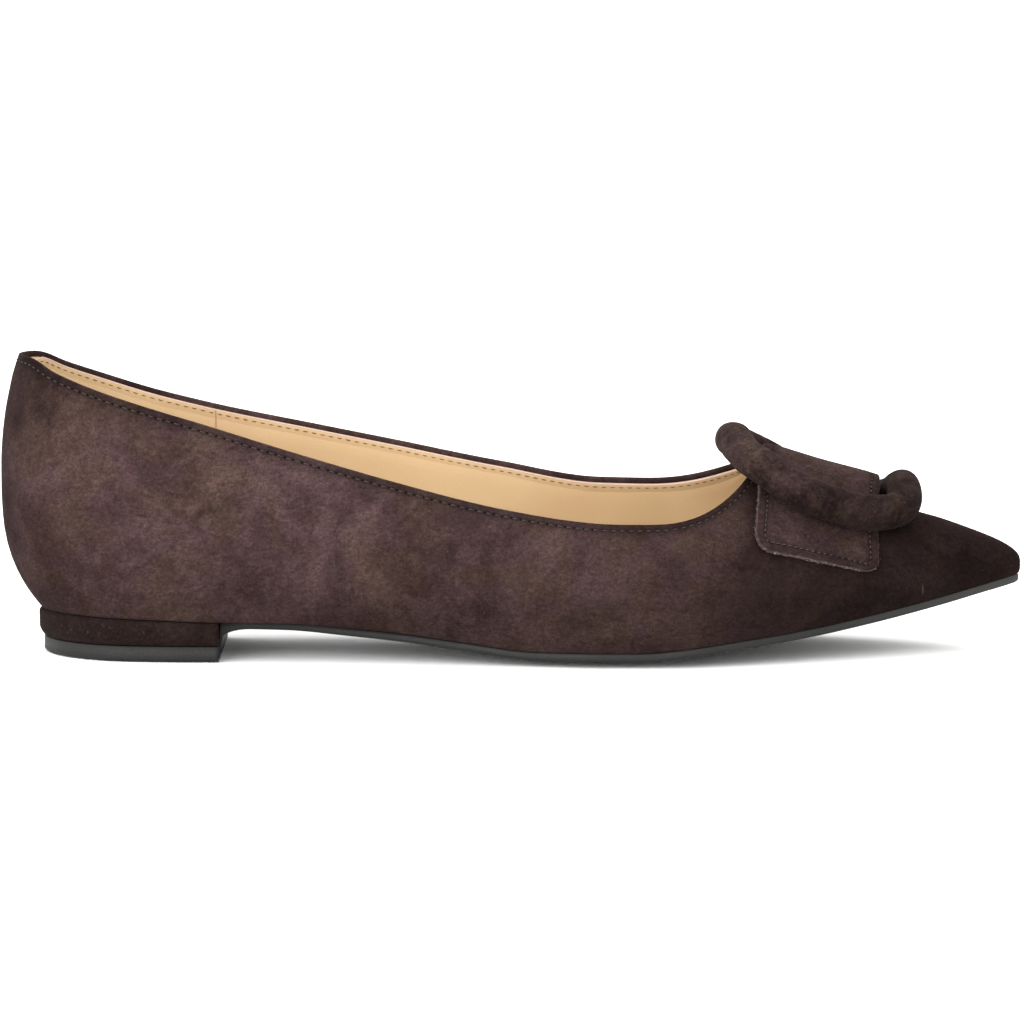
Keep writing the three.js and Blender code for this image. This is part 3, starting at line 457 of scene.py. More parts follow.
# x, y, z, length, height and strength of marks: dark ones are painted shade in dents and creases, the one at x 199 a
# painted shadow under the strap's rear edge; pale ones lighten the tone
SHADE_AND_PALE_MARKS = [
    (5.6, -12, 61, 2.6, 6, -1.1), (2.2, -8, 41, 2.2, 5, -1), (13, -24, 64, 4, 3.5, -0.5),
    (32, -30, 56, 9, 4, -0.4), (24, -28, 23, 8, 3.5, -0.35), (58, -34, 38, 7, 6, -0.25),
    (96, -34, 48, 8, 5, -0.4), (118, -34, 40, 9, 4, -0.35), (132, -36, 22, 8, 5, -0.3),
    (150, -36, 12, 8, 3, -0.3), (86, -32, 15, 10, 2.5, -0.35), (176, -34, 27, 5, 4, -0.45),
    (70, -34, 28, 8, 5, 0.05), (44, -34, 48, 7, 5, 0.05), (108, -36, 26, 8, 5, 0.04),
    (160, -36, 18, 9, 5, 0.05), (238.6, -18, 17.5, 0.3, 1.7, 0.35), (199, -30, 22, 10, 8, -0.4),
]
# Painted shade on the upper: its tone is made darker at the back edge, towards the toe, low on the quarter and near the
# top edge, where less light falls
PAINTED_SHADE_AHEAD = [(0, 0.45), (10, 0.8), (25, 1), (60, 1), (110, 0.9), (150, 0.8), (182, 0.62), (200, 0.36), (225, 0.26), (265, 0.2)]
PAINTED_SHADE_UPWARD = [(14, 0.62), (25, 0.85), (38, 1), (56, 1), (68, 0.72), (78, 0.5)]
upper_suede = suede("upper_suede", (0.0265, 0.0152, 0.0142), (0.0535, 0.033, 0.0303), 0.03, 1, EDGE_STITCH,
                    PAINTED_SHADE_AHEAD, PAINTED_SHADE_UPWARD, SHADE_AND_PALE_MARKS)

# Columns of points round the shoe: the outer side from heel to toe, then the inner side back again
before_throat = np.linspace(0, throat_start, 96)
at_throat = throat_start + (throat_place - throat_start) * (1 - (1 - np.linspace(0, 1, 30)[1:]) ** 2)
after_throat = np.linspace(throat_place, TOE_END, 52)[1:]
side_places = np.concatenate([before_throat, at_throat, after_throat])
loop_side = np.r_[np.full(len(side_places), OUTER), np.full(len(side_places), INNER)]
loop_place = np.r_[side_places, side_places[::-1]]
loop_top = np.r_[topline_level(OUTER, side_places), topline_level(INNER, side_places[::-1])]

# Topline from the throat round the back to the throat again, with its distance from the back
rim_outer = np.flatnonzero(side_places <= throat_place + 1e-6)[::-1]
rim = np.r_[rim_outer, (2 * len(side_places) - 1) - rim_outer[::-1][1:]]
rim_points = last_point(loop_side[rim], loop_place[rim], loop_top[rim])
rim_normals = last_normal(loop_side[rim], loop_place[rim], loop_top[rim])
rim_steps = np.linalg.norm(np.diff(rim_points, axis=0), axis=1)
rim_lengths = np.r_[0, np.cumsum(rim_steps)]
back_row = len(rim_outer) - 1
rim_from_back = rim_lengths - rim_lengths[back_row]
rim_tangents = unit(np.gradient(rim_points, axis=0))
rim_away = unit(np.cross(rim_normals, rim_tangents))
rim_away *= -np.sign(rim_away[back_row, 2])


def from_topline(points):
    """Distance along the topline from the back, and distance from the topline, for each point."""
    flat = np.asarray(points).reshape(-1, 3)
    even = np.linspace(0, rim_lengths[-1], 1400)
    samples = np.stack([np.interp(even, rim_lengths, rim_points[:, k]) for k in range(3)], -1)
    found = np.zeros((len(flat), 2))
    for start in range(0, len(flat), 2000):
        part = flat[start:start + 2000]
        gaps = np.linalg.norm(part[:, None] - samples[None], axis=-1)
        nearest = gaps.argmin(1)
        found[start:start + 2000, 0] = abs(even[nearest] - rim_lengths[back_row])
        found[start:start + 2000, 1] = gaps[np.arange(len(part)), nearest]
    return found


# Soft creases as seen from the side: from, to, half width, depth, where a minus is a trough
CREASES = {
    OUTER: [((5, 67), (6.5, 57), 2.6, -0.6), ((2, 45), (4, 37), 2.5, -0.3), ((12, 57), (37, 54), 5, 0.3), ((70, 50), (62, 16), 5, -0.22),
            ((88, 33), (128, 25), 8, -0.3), ((40, 40), (58, 47), 7, 0.2), ((150, 22), (170, 30), 6, 0.2),
            ((172, 11), (183, 27), 4, -0.3), ((188, 9), (198, 24), 3.5, -0.25), ((234, 17), (250, 14), 5, -0.15)],
    INNER: [((5, 67), (6.5, 57), 3, -0.3), ((14, 58), (40, 55), 5, 0.25), ((68, 50), (61, 16), 5, -0.22),
            ((84, 36), (124, 28), 9, -0.4), ((140, 24), (160, 32), 7, 0.25), ((174, 11), (185, 26), 4, -0.35),
            ((190, 9), (199, 23), 3.5, -0.25), ((232, 17), (248, 14), 5, -0.15)],
}


def crease_depth(side, points):
    depth = np.zeros(points.shape[:-1])
    for one_side, creases in CREASES.items():
        for start, end, width, amount in creases:
            start, run = np.array(start, float), np.array(end, float) - np.array(start, float)
            seen = points[..., [0, 2]] - start
            share = np.clip((seen @ run) / (run @ run), 0, 1)
            away = np.linalg.norm(seen - share[..., None] * run, axis=-1)
            depth += np.where(side == one_side, amount * np.exp(-(away / width) ** 2), 0)
    x, y, z = points[..., 0], points[..., 1], points[..., 2]
    wobble = np.sin(x / 9 + z / 13) * np.sin(z / 7 - x / 31 + y / 15) + 0.6 * np.sin(x / 4.3 - z / 6 + y / 9)
    return depth + 0.07 * wobble


low_levels = np.array([0, 0.02, 0.05, 0.09, 0.14, 0.2, 0.28, 0.37, 0.47, 0.58, 0.7, 0.84, 1])
high_shares = np.linspace(0, 1, 27)[1:]
side_grid = np.repeat(loop_side[:, None], len(low_levels) + len(high_shares), 1)
place_grid = np.repeat(loop_place[:, None], side_grid.shape[1], 1)
level_grid = np.concatenate([np.repeat(low_levels[None], len(loop_side), 0), 1 + (loop_top[:, None] - 1) * high_shares], 1)
skin = last_point(side_grid, place_grid, level_grid)
rim_distance = from_topline(skin)
settled = np.clip(rim_distance[:, 1].reshape(level_grid.shape) / 6, 0, 1) * np.clip(level_grid / 0.15, 0, 1)
skin = skin + last_normal(side_grid, place_grid, level_grid) * (crease_depth(side_grid, skin) * settled)[..., None]
cuts = section(loop_side, loop_place)
turned_under = np.stack([on_bottom(cuts, cuts["reach"] - np.minimum(w, cuts["reach"] * 0.5), h)
                         for w, h in ((6, 0.0), (1.6, 0.0), (0.5, -0.05))], 1)
skin = np.concatenate([turned_under, skin], 1)
skin_uv = np.concatenate([np.full((len(loop_side), 3, 2), 50.0), rim_distance.reshape(*level_grid.shape, 2)], 1)
skin_faces = grid_faces(skin.shape[1], len(loop_side), closed=True)

# The turned edge: over the top and down the inside, where it reaches further down at the heel
FOLD = [(0, 0), (0.03, -0.16), (0.2, -0.32), (0.55, -0.4), (0.95, -0.32), (1.22, -0.08), (1.3, 0.4), (1.3, 1.0), (1.3, 1.7)]
heel_tab = 1.6 * np.clip(1 - abs(rim_from_back) / 12, 0, 1) ** 0.5
fold_rows = []
for depth, drop in FOLD:
    reach_down = drop + (heel_tab if drop > 0.9 else 0)
    fold_rows.append(rim_points + rim_away * np.broadcast_to(reach_down, rim_lengths.shape)[:, None] - rim_normals * depth)
fold = np.stack(fold_rows, 1)
fold_uv = np.stack([np.repeat(abs(rim_from_back)[:, None], len(FOLD), 1), np.repeat([[0] + [9] * (len(FOLD) - 1)], len(rim), 0)], -1)
fold_faces = grid_faces(len(FOLD), len(rim), skin.shape[0] * skin.shape[1], turned=True)
upper = mesh_piece("upper_outside", np.concatenate([skin.reshape(-1, 3), fold.reshape(-1, 3)]), skin_faces + fold_faces,
                   upper_suede, np.concatenate([skin_uv.reshape(-1, 2), fold_uv.reshape(-1, 2)]))
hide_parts("upper")


def thread_run(points, normals, pitch, share, thickness, sink):
    """Stitches along a line: each a short tapered thread that dips into its two holes."""
    lengths = np.r_[0, np.cumsum(np.linalg.norm(np.diff(points, axis=0), axis=1))]
    count = int(lengths[-1] / pitch)
    corners, faces = [], []
    for k in range(count):
        middle = (k + 0.5) * pitch
        spans = middle + np.array([-0.5, -0.38, -0.15, 0.15, 0.38, 0.5]) * pitch * share
        spots = np.stack([np.interp(spans, lengths, points[:, a]) for a in range(3)], -1)
        ups = unit(np.stack([np.interp(spans, lengths, normals[:, a]) for a in range(3)], -1))
        ahead = unit(spots[-1] - spots[0])
        sideways = unit(np.cross(ups, ahead))
        lifts = np.array([-1.2, 0.1, 0.75, 0.75, 0.1, -1.2]) * thickness - sink
        widths = np.array([0.5, 0.9, 1, 1, 0.9, 0.5]) * thickness * random.uniform(0.9, 1.1)
        start = len(corners)
        for spot, up, across, lift, width in zip(spots, ups, sideways, lifts, widths):
            for turn in np.arange(6) * math.pi / 3:
                corners.append(spot + up * lift + (across * math.cos(turn) + up * math.sin(turn)) * width)
        for j in range(5):
            for i in range(6):
                a, b = start + j * 6 + i, start + j * 6 + (i + 1) % 6
                faces.append((a, b, b + 6, a + 6))
    return np.array(corners), faces


def thread_material(name, colour):
    material = bpy.data.materials.new(name)
    material.use_nodes = True
    tree = material.node_tree
    shader = tree.nodes["Principled BSDF"]
    place = add_node(tree, "TexCoord").outputs["Object"]
    twist = grey_noise(tree, place, 2600, 2, 0.6)
    shade = span(tree, twist, 0.3, 0.7, 0.7, 1.25)
    grey = add_node(tree, "CombineColor", None, Red=shade, Green=shade, Blue=shade).outputs[0]
    tree.links.new(blend_colours(tree, 1.0, (*colour, 1), grey, "MULTIPLY"), shader.inputs["Base Color"])
    tree.links.new(span(tree, twist, 0.3, 0.7, 0.6, 0.8), shader.inputs["Roughness"])
    tree.links.new(add_node(tree, "Bump", None, Strength=0.5, Distance=0.0001, Height=twist).outputs[0], shader.inputs["Normal"])
    return material


brown_thread = thread_material("brown_thread", (0.0135, 0.0085, 0.008))
outside_line = rim_points + rim_away * EDGE_STITCH[0]
threads, thread_faces = thread_run(outside_line, rim_normals, EDGE_STITCH[1], 0.62, 0.15, 0.1)
mesh_piece("edge_stitches", threads, thread_faces, brown_thread)

# Lining: tan leather cemented inside the upper, with its top edge trimmed under the turned suede
# and caught by the same row of stitches. Its quarter and vamp linings meet in a seam on each side.
FOOT_RISE = WALL + 0.2


def leather(name, colour, deep, rough=0.45, stitches=None, seams=()):
    """Smooth tan leather: seams are places along the shoe where two pieces meet."""
    material = bpy.data.materials.new(name)
    material.use_nodes = True
    tree = material.node_tree
    shader = tree.nodes["Principled BSDF"]
    place = add_node(tree, "TexCoord").outputs["Object"]
    cloud = span(tree, grey_noise(tree, place, 30, 3, 0.5), 0.3, 0.7)
    pores = add_node(tree, "TexVoronoi", {"feature": "F1"}, Vector=place, Scale=1500).outputs["Distance"]
    grain = grey_noise(tree, place, 800, 3, 0.55)
    tone = blend_colours(tree, cloud, (*colour, 1), (*deep, 1))
    tone = blend_colours(tree, math_node(tree, "MULTIPLY", span(tree, pores, 0.0, 0.25, 1, 0), 0.12), tone, (0.25, 0.15, 0.08, 1))
    height = math_node(tree, "ADD", math_node(tree, "MULTIPLY", grain, 0.5), math_node(tree, "MULTIPLY", pores, 0.4))
    if stitches:
        line = add_node(tree, "UVMap", {"uv_map": "stitch_line"})
        axes = add_node(tree, "SeparateXYZ", None, Vector=line.outputs[0])
        stitch_row = add_node(tree, "Group", {"node_tree": row}, Along=axes.outputs[0], From_edge=axes.outputs[1],
                              Distance=stitches[0], Pitch=stitches[1], Hole=0.3)
        # The groove is painted darker, partly leather pressed by the thread and partly painted shade in it; the needle
        # holes are painted shade
        tone = blend_colours(tree, math_node(tree, "MULTIPLY", stitch_row.outputs["Groove"], 0.22), tone, (0.3, 0.17, 0.1, 1))
        tone = blend_colours(tree, stitch_row.outputs["Holes"], tone, (0.06, 0.03, 0.02, 1))
        height = math_node(tree, "SUBTRACT", height, math_node(tree, "MULTIPLY", stitch_row.outputs["Groove"], 1.0))
    if seams:
        along = add_node(tree, "SeparateXYZ", None, Vector=place).outputs[0]
        for seam in seams:
            off = math_node(tree, "ABSOLUTE", math_node(tree, "SUBTRACT", along, (seam + SHIFT[0]) / 1000))
            cut = span(tree, off, 0.0001, 0.0003, 1, 0)
            tone = blend_colours(tree, math_node(tree, "MULTIPLY", cut, 0.6), tone, (0.2, 0.11, 0.06, 1))
            height = math_node(tree, "SUBTRACT", height, math_node(tree, "MULTIPLY", cut, 1.5))
    tree.links.new(tone, shader.inputs["Base Color"])
    tree.links.new(span(tree, grain, 0.3, 0.7, rough - 0.06, rough + 0.1), shader.inputs["Roughness"])
    bump = add_node(tree, "Bump", None, Strength=0.35, Distance=0.0002, Height=height)
    tree.links.new(bump.outputs[0], shader.inputs["Normal"])
    shader.inputs["Specular IOR Level"].default_value = 0.35
    return material


LINING_SEAM = 54.6
lining_leather = leather("tan_lining", (0.52, 0.375, 0.212), (0.47, 0.32, 0.175), 0.5, seams=(LINING_SEAM,))
inner_levels = np.r_[np.linspace(0, 1, 34)]
foot_level = search(np.zeros(len(loop_side)), CREST,
                    lambda level: raised_point(loop_side, loop_place, level, np.full(len(loop_side), -WALL))[..., 2]
                    - cuts["feather"] - FOOT_RISE)
lining_side = np.repeat(loop_side[:, None], len(inner_levels), 1)
lining_place = np.repeat(loop_place[:, None], len(inner_levels), 1)
lining_level = foot_level[:, None] + (loop_top - foot_level)[:, None] * inner_levels
bare = raised_point(lining_side, lining_place, lining_level, np.full(lining_level.shape, -WALL))
lining_distance = from_topline(raised_point(lining_side, lining_place, lining_level, np.zeros(lining_level.shape)))
dip = 0.75 * np.clip((2.9 - lining_distance[:, 1].reshape(lining_level.shape)) / 1.0, 0, 1)
relief = 0.5 * crease_depth(lining_side, bare) * np.clip(lining_distance[:, 1].reshape(lining_level.shape) / 8, 0, 1)
inside = bare + last_normal(lining_side, lining_place, lining_level) * (dip + relief)[..., None]
lining_uv = lining_distance.reshape(*lining_level.shape, 2)
band_rows = [(1.25, 1.15), (1.42, 0.98), (1.62, 0.94), (1.84, 1.02), (1.93, 1.25), (1.94, 1.7), (1.91, 2.3), (1.87, 2.9), (1.82, 3.5), (1.76, 4.1)]
band_points = np.stack([rim_points + rim_away * (drop + heel_tab * 0.9)[:, None] - rim_normals * depth for depth, drop in band_rows], 1)
band_uv = np.stack([np.repeat(abs(rim_from_back)[:, None], len(band_rows), 1), np.repeat([[d for _, d in band_rows]], len(rim), 0)], -1)
lining_faces = grid_faces(inside.shape[1], len(loop_side), closed=True, turned=True)
band_faces = grid_faces(len(band_rows), len(rim), inside.shape[0] * inside.shape[1], turned=True)
lining = mesh_piece("lining", np.concatenate([inside.reshape(-1, 3), band_points.reshape(-1, 3)]), lining_faces + band_faces,
                    lining_leather, np.concatenate([lining_uv.reshape(-1, 2), band_uv.reshape(-1, 2)]))
inside_line = rim_points + rim_away * (EDGE_STITCH[0] + 0.4 + heel_tab * 0.9)[:, None] - rim_normals * 1.93
tan_thread = thread_material("tan_thread", (0.09, 0.05, 0.032))
threads, thread_faces = thread_run(inside_line, -rim_normals, EDGE_STITCH[1], 0.62, 0.13, 0.05)
mesh_piece("lining_stitches", threads, thread_faces, tan_thread)

# Raw edge of the lining, a pale line of cut leather just under the turned suede
raw_edge = leather("lining_raw_edge", (0.47, 0.34, 0.27), (0.43, 0.3, 0.225), 0.75)
edge_rows = [(1.22, 1.02), (1.36, 0.84), (1.6, 0.8), (1.86, 0.86), (1.96, 1.0), (1.95, 1.12)]
edge_points = np.stack([rim_points + rim_away * (drop + heel_tab * 0.9)[:, None] - rim_normals * depth for depth, drop in edge_rows], 1)
mesh_piece("lining_edge", edge_points, grid_faces(len(edge_rows), len(rim), turned=True), raw_edge)


# Insole: a tan leather sock over soft foam on the insole board, seated between the lining's walls
def plate(places, profile, close_back=False, close_front=False):
    """Points and faces of a plate whose profile runs from the ridge out and back to it."""
    points, faces = [], []
    count = 0
    for side in (OUTER, INNER):
        rows = profile(side, places)
        points.append(rows.reshape(-1, 3))
        faces += grid_faces(rows.shape[1], rows.shape[0], count, turned=side > 0)
        ends = []
        if close_back:
            ends.append((0, side > 0))
        if close_front:
            ends.append((rows.shape[0] - 1, side < 0))
        for column, flip in ends:
            face = [count + column * rows.shape[1] + k for k in range(rows.shape[1])]
            faces.append(tuple(face[::-1] if flip else face))
        count += rows.shape[0] * rows.shape[1]
    return np.concatenate(points), faces


def inner_reach(side, place, rise):
    cut = section(side, place)
    level = level_of_height(side, place, cut["feather"] + rise)
    point, normal = last_point(side, place, level), last_normal(side, place, level)
    out = np.linalg.norm(point[..., :2] - cut["pole"], axis=-1)
    return out - (WALL + GAP) / (normal[..., :2] * cut["ray"]).sum(-1)


def insole_profile(side, place):
    side = np.full(place.shape, side)
    cut = section(side, place)
    under = WALL + GAP
    edge = np.minimum(inner_reach(side, place, under), inner_reach(side, place, under + INSOLE)) + 0.1
    rows = []
    for share in (0, 0.2, 0.4, 0.55, 0.7, 0.82, 0.91, 0.965, 0.99):
        puff = 0.25 * np.clip((1 - share) / 0.3, 0, 1)
        rows.append(on_bottom(cut, edge * share, under + INSOLE + puff))
    rows.append(on_bottom(cut, edge, under + INSOLE - 0.35, 1))
    rows.append(on_bottom(cut, edge, under, 1))
    rows.append(on_bottom(cut, edge * 0.5, under, 1))
    return np.stack(rows, 1)


sock_leather = leather("tan_sock", (0.41, 0.3, 0.18), (0.36, 0.25, 0.145), 0.48)
plate_places = np.linspace(0, TOE_END, 150)
points, faces = plate(plate_places, insole_profile)
insole = mesh_piece("insole_sock", points, faces, sock_leather)
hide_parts("insole")

# Outsole: dark grey rubber, moulded, cemented under the upper from the heel's breast to the toe
SOLE_BEVEL = 0.5
BREAST = 57.5
BREAST_FILLET = 8
BREAST_DROP = 3.1
outsole_start = BREAST + GAP


def rubber(name, colour, pale, ahead=None):
    """Moulded rubber, dusty matt, with fine studs underneath: ahead is how dark it is along the shoe."""
    material = bpy.data.materials.new(name)
    material.use_nodes = True
    tree = material.node_tree
    shader = tree.nodes["Principled BSDF"]
    place = add_node(tree, "TexCoord").outputs["Object"]
    cloud = span(tree, grey_noise(tree, place, 90, 4, 0.6), 0.35, 0.7)
    grain = grey_noise(tree, place, 2200, 2, 0.6)
    tone = blend_colours(tree, cloud, (*colour, 1), (*pale, 1))
    height = math_node(tree, "MULTIPLY", grain, 0.4)
    if ahead:
        tone = blend_colours(tree, 1.0, tone, shade_ramp(tree, place, 0, ahead), "MULTIPLY")
    facing_down = add_node(tree, "SeparateXYZ", None, Vector=add_node(tree, "NewGeometry").outputs["Normal"]).outputs[2]
    under = span(tree, facing_down, -0.9, -0.7, 1, 0)
    turned = add_node(tree, "Mapping", None, Vector=place, Rotation=(0, 0, math.pi / 4), Scale=(420, 420, 0)).outputs[0]
    studs = add_node(tree, "TexVoronoi", {"feature": "F1"}, Vector=turned, Scale=1, Randomness=0).outputs["Distance"]
    stud = math_node(tree, "MULTIPLY", span(tree, studs, 0.25, 0.4, 1, 0), under)
    height = math_node(tree, "ADD", height, math_node(tree, "MULTIPLY", stud, 2.0))
    tone = blend_colours(tree, math_node(tree, "MULTIPLY", math_node(tree, "SUBTRACT", under, stud), 0.35), tone, (0.015, 0.015, 0.015, 1))
    tree.links.new(tone, shader.inputs["Base Color"])
    tree.links.new(span(tree, grain, 0.3, 0.7, 0.5, 0.68), shader.inputs["Roughness"])
    shader.inputs["Specular IOR Level"].default_value = 0.25
    bump = add_node(tree, "Bump", None, Strength=0.5, Distance=0.00025, Height=height)
    tree.links.new(bump.outputs[0], shader.inputs["Normal"])
    return material


def breast_drop(along):
    left = 1 - np.clip((along - outsole_start) / BREAST_FILLET, 0, 1)
    return BREAST_DROP * (1 - np.sqrt(1 - left * left))


def outsole_profile(side, place):
    cut = section(np.full(place.shape, side), place)
    along = along_at(place)
    edge = cut["reach"] - sole_inset(along)
    lowered = GAP + SOLE + breast_drop(along)
    rows = [on_bottom(cut, edge * share, -0.1) for share in (0, 0.45, 0.8, 0.95)]
    rows += [on_bottom(cut, edge - 0.25, -0.08), on_bottom(cut, edge, -0.28)]
    rows += [on_bottom(cut, edge, SOLE_BEVEL * (1 + 0.3) - lowered), on_bottom(cut, edge - 0.12, 0.2 - lowered),
             on_bottom(cut, edge - SOLE_BEVEL, -lowered)]
    rows += [on_bottom(cut, edge * share, -lowered) for share in (0.93, 0.86, 0.78, 0.68, 0.57, 0.45, 0.2, 0)]
    return np.stack(rows, 1)


sole_rubber = rubber("sole_rubber", (0.0062, 0.0059, 0.0055), (0.0085, 0.0081, 0.0076), [(57, 1), (200, 1), (235, 1.6), (265, 2.6)])
fillet_places = place_of(outsole_start + BREAST_FILLET * np.linspace(0, 1, 14) ** 1.7)
sole_places = np.r_[fillet_places, np.linspace(fillet_places[-1], TOE_END, 120)[1:]]
points, faces = plate(sole_places, outsole_profile, close_back=True)
outsole = mesh_piece("outsole_rubber", points, faces, sole_rubber)
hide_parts("outsole")

# Heel: a low block covered in the same suede, which is turned in under its top and bottom edges
HEEL_PROUD = 0.6
HEEL_TAPER = 1.3
HEEL_EDGE = 0.8
TOP_PIECE = 4


def heel_profile(side, place):
    cut = section(np.full(place.shape, side), place)
    edge = cut["reach"] + HEEL_PROUD
    seat = cut["feather"]
    rows = [on_bottom(cut, edge * share, -0.1) for share in (0, 0.5)]
    for turn in np.linspace(0, math.pi / 2, 6):
        rows.append(on_bottom(cut, edge - HEEL_EDGE * (1 - math.sin(turn)), -GAP - HEEL_EDGE * (1 - math.cos(turn))))
    foot = TOP_PIECE + GAP
    waist = foot + (seat - GAP - foot) * 0.3
    rows += [on_ray(cut, edge, (seat + waist) / 2), on_ray(cut, edge - 0.05, waist), on_ray(cut, edge - HEEL_TAPER * 0.4, (waist + foot) / 2),
             on_ray(cut, edge - HEEL_TAPER * 0.75, foot + 0.3), on_ray(cut, edge - HEEL_TAPER, foot - 0.05),
             on_ray(cut, edge - HEEL_TAPER - 0.6, foot - 0.15), on_ray(cut, edge * 0, foot - 0.15)]
    return np.stack(rows, 1)


# The same suede as the upper, set about a third as bright: painted shade on the low heel block under the upper's bulge
# at the seat
heel_suede = suede("heel_suede", (0.0078, 0.0045, 0.0043), (0.0168, 0.0103, 0.0096), 0.03, 0.6)
heel_places = np.linspace(0, float(place_of(np.array(BREAST))), 60)
points, faces = plate(heel_places, heel_profile, close_front=True)
heel = mesh_piece("heel_cover", points, faces, heel_suede)
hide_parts("heel")

# Top piece: the hard rubber lift nailed and cemented under the heel, with a trimmed lower edge
TOP_PIECE_BEVEL = 0.8


def top_piece_profile(side, place):
    cut = section(np.full(place.shape, side), place)
    edge = cut["reach"] + HEEL_PROUD - HEEL_TAPER
    return np.stack([on_ray(cut, edge * 0, TOP_PIECE), on_ray(cut, edge - 0.3, TOP_PIECE), on_ray(cut, edge, TOP_PIECE - 0.2),
                     on_ray(cut, edge, TOP_PIECE_BEVEL), on_ray(cut, edge - 0.15, 0.35), on_ray(cut, edge - 0.45, 0.08),
                     on_ray(cut, edge - TOP_PIECE_BEVEL, 0), on_ray(cut, edge * 0, 0)], 1)


lift_rubber = rubber("top_piece_rubber", (0.0052, 0.0049, 0.0046), (0.0072, 0.0067, 0.0063))
points, faces = plate(heel_places, top_piece_profile, close_front=True)
top_piece = mesh_piece("top_piece_rubber", points, faces, lift_rubber)
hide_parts("top_piece")

# Buckle strap: two layers of suede back to back, stitched along their edges, which are left raw.
# It lies over the vamp inside the ring and passes under both side bars, with a free flap each side.
RING_OVERHANG = 5.9
RING_LENGTH = 43.6
RING_WIDTH = 46.5
RING_SQUARENESS = 3
TUBE = 9.4
STRAP = 1.6
STRAP_WIDTH = 29.4
STRAP_FLARE = 3.1
STRAP_FRONT = 226.4
STRAP_RISE_REAR = 2.8
STRAP_RISE_FRONT = 4.6
STRAP_TUCK = 1.5
FLAP_DROP_REAR = 21
FLAP_DROP_FRONT = 17.6
FLAP_CORNER = 5
FLAP_LIFT = 0.5
STRAP_STITCH = (2.2, 1.6)
ring_middle = THROAT - RING_OVERHANG + RING_LENGTH / 2


def arch_reach(along):
    share = np.minimum(abs(along - ring_middle) / (RING_LENGTH / 2 - TUBE / 2), 1)
    return (RING_WIDTH / 2 - TUBE / 2) * (1 - share ** RING_SQUARENESS) ** (1 / RING_SQUARENESS) + STRAP_TUCK


def strap_spot(along, across, lift):
    """A point of the strap: across is -1 at the outer flap's end, 0 on the crest, 1 at the inner's."""
    side = np.where(across < 0, OUTER, INNER)
    place = place_of(along)
    share = (STRAP_FRONT - along) / STRAP_WIDTH
    drop = FLAP_DROP_FRONT + (FLAP_DROP_REAR - FLAP_DROP_FRONT) * share
    end = level_of_height(side, place, crest_height(along) - drop)
    level = CREST - (CREST - end) * abs(across)
    out = abs(last_point(side, place, level)[..., 1] - ridge_at(place))
    rise = STRAP_RISE_FRONT + (STRAP_RISE_REAR - STRAP_RISE_FRONT) * share
    arch = rise * np.cos(np.minimum(out / arch_reach(along), 1) * math.pi / 2) ** 2
    free = FLAP_LIFT * np.maximum(0, (abs(across) - 0.75) / 0.25) ** 2
    return raised_point(side, place, level, GAP + arch + free + lift)


def strap_edges(across):
    middle = np.full(across.shape, STRAP_FRONT - STRAP_WIDTH / 2)
    end = strap_spot(middle, np.where(across < 0, -1.0, 1.0), 0)
    from_end = np.linalg.norm(strap_spot(middle, across, 0) - end, axis=-1)
    inside = np.maximum(0, FLAP_CORNER - from_end)
    cut = FLAP_CORNER - np.sqrt(FLAP_CORNER ** 2 - inside ** 2)
    return STRAP_FRONT - STRAP_WIDTH - STRAP_FLARE * abs(across) ** 1.5 + cut, STRAP_FRONT - cut, from_end


steps = np.linspace(0, 1, 52)
crowded = 1 - (1 - steps) ** 1.6
across_rows = np.r_[-crowded[::-1], crowded[1:]]
rear, front, from_end = strap_edges(across_rows)
shares = np.r_[0, 0.006, 0.02, 0.05, np.linspace(0.09, 0.91, 28), 0.95, 0.98, 0.994, 1]
along_grid = rear[:, None] + (front - rear)[:, None] * shares
across_grid = np.repeat(across_rows[:, None], len(shares), 1)
edge_distance = np.minimum(np.minimum(along_grid - rear[:, None], front[:, None] - along_grid), from_end[:, None])
near_edge = np.clip(1 - edge_distance / 0.5, 0, 1)
x, y = along_grid, across_grid * 30
curl = 0.18 * np.sin(x / 5 + y / 7) * np.clip(edge_distance / 3, 0, 1)
over = strap_spot(along_grid, across_grid, STRAP - 0.35 * near_edge ** 2 + curl)
stitch_press = 0.12 * np.exp(-((edge_distance - STRAP_STITCH[0]) / 0.5) ** 2)
beneath = strap_spot(along_grid, across_grid, 0.25 * near_edge ** 2)
surface_normal = unit(over - beneath)
over = over - surface_normal * stitch_press[..., None]
half = strap_spot(along_grid, across_grid, STRAP / 2 * np.ones(along_grid.shape))
layer_seam = half + (half - half.mean((0, 1))) * 0
loops = np.concatenate([over[:, ::-1], layer_seam[:, :1], beneath, layer_seam[:, -1:], over[:, -1:]], 1)
edge_loop = np.concatenate([edge_distance[:, ::-1], np.zeros((len(rear), 1)), edge_distance, np.zeros((len(rear), 2))], 1)
arc = np.cumsum(np.r_[0, np.linalg.norm(np.diff(over[:, len(shares) // 2], axis=0), axis=1)])
nearest_end = from_end[:, None] < np.minimum(along_grid - rear[:, None], front[:, None] - along_grid)
running = np.where(nearest_end, along_grid, arc[:, None] + 0 * along_grid)
run_loop = np.concatenate([running[:, ::-1], running[:, :1], running, running[:, -1:], running[:, -1:]], 1)
strap_faces = grid_faces(loops.shape[1], loops.shape[0])
for column, flip in ((0, False), (loops.shape[0] - 1, True)):
    ring_of_points = [column * loops.shape[1] + k for k in range(loops.shape[1] - 1)]
    strap_faces.append(tuple(ring_of_points[::-1] if flip else ring_of_points))
strap_suede = suede("strap_suede", (0.0205, 0.0117, 0.0112), (0.0385, 0.0235, 0.0218), 0.016, 0.95, STRAP_STITCH)
tree = strap_suede.node_tree
shader = tree.nodes["Principled BSDF"]
line = add_node(tree, "UVMap", {"uv_map": "stitch_line"})
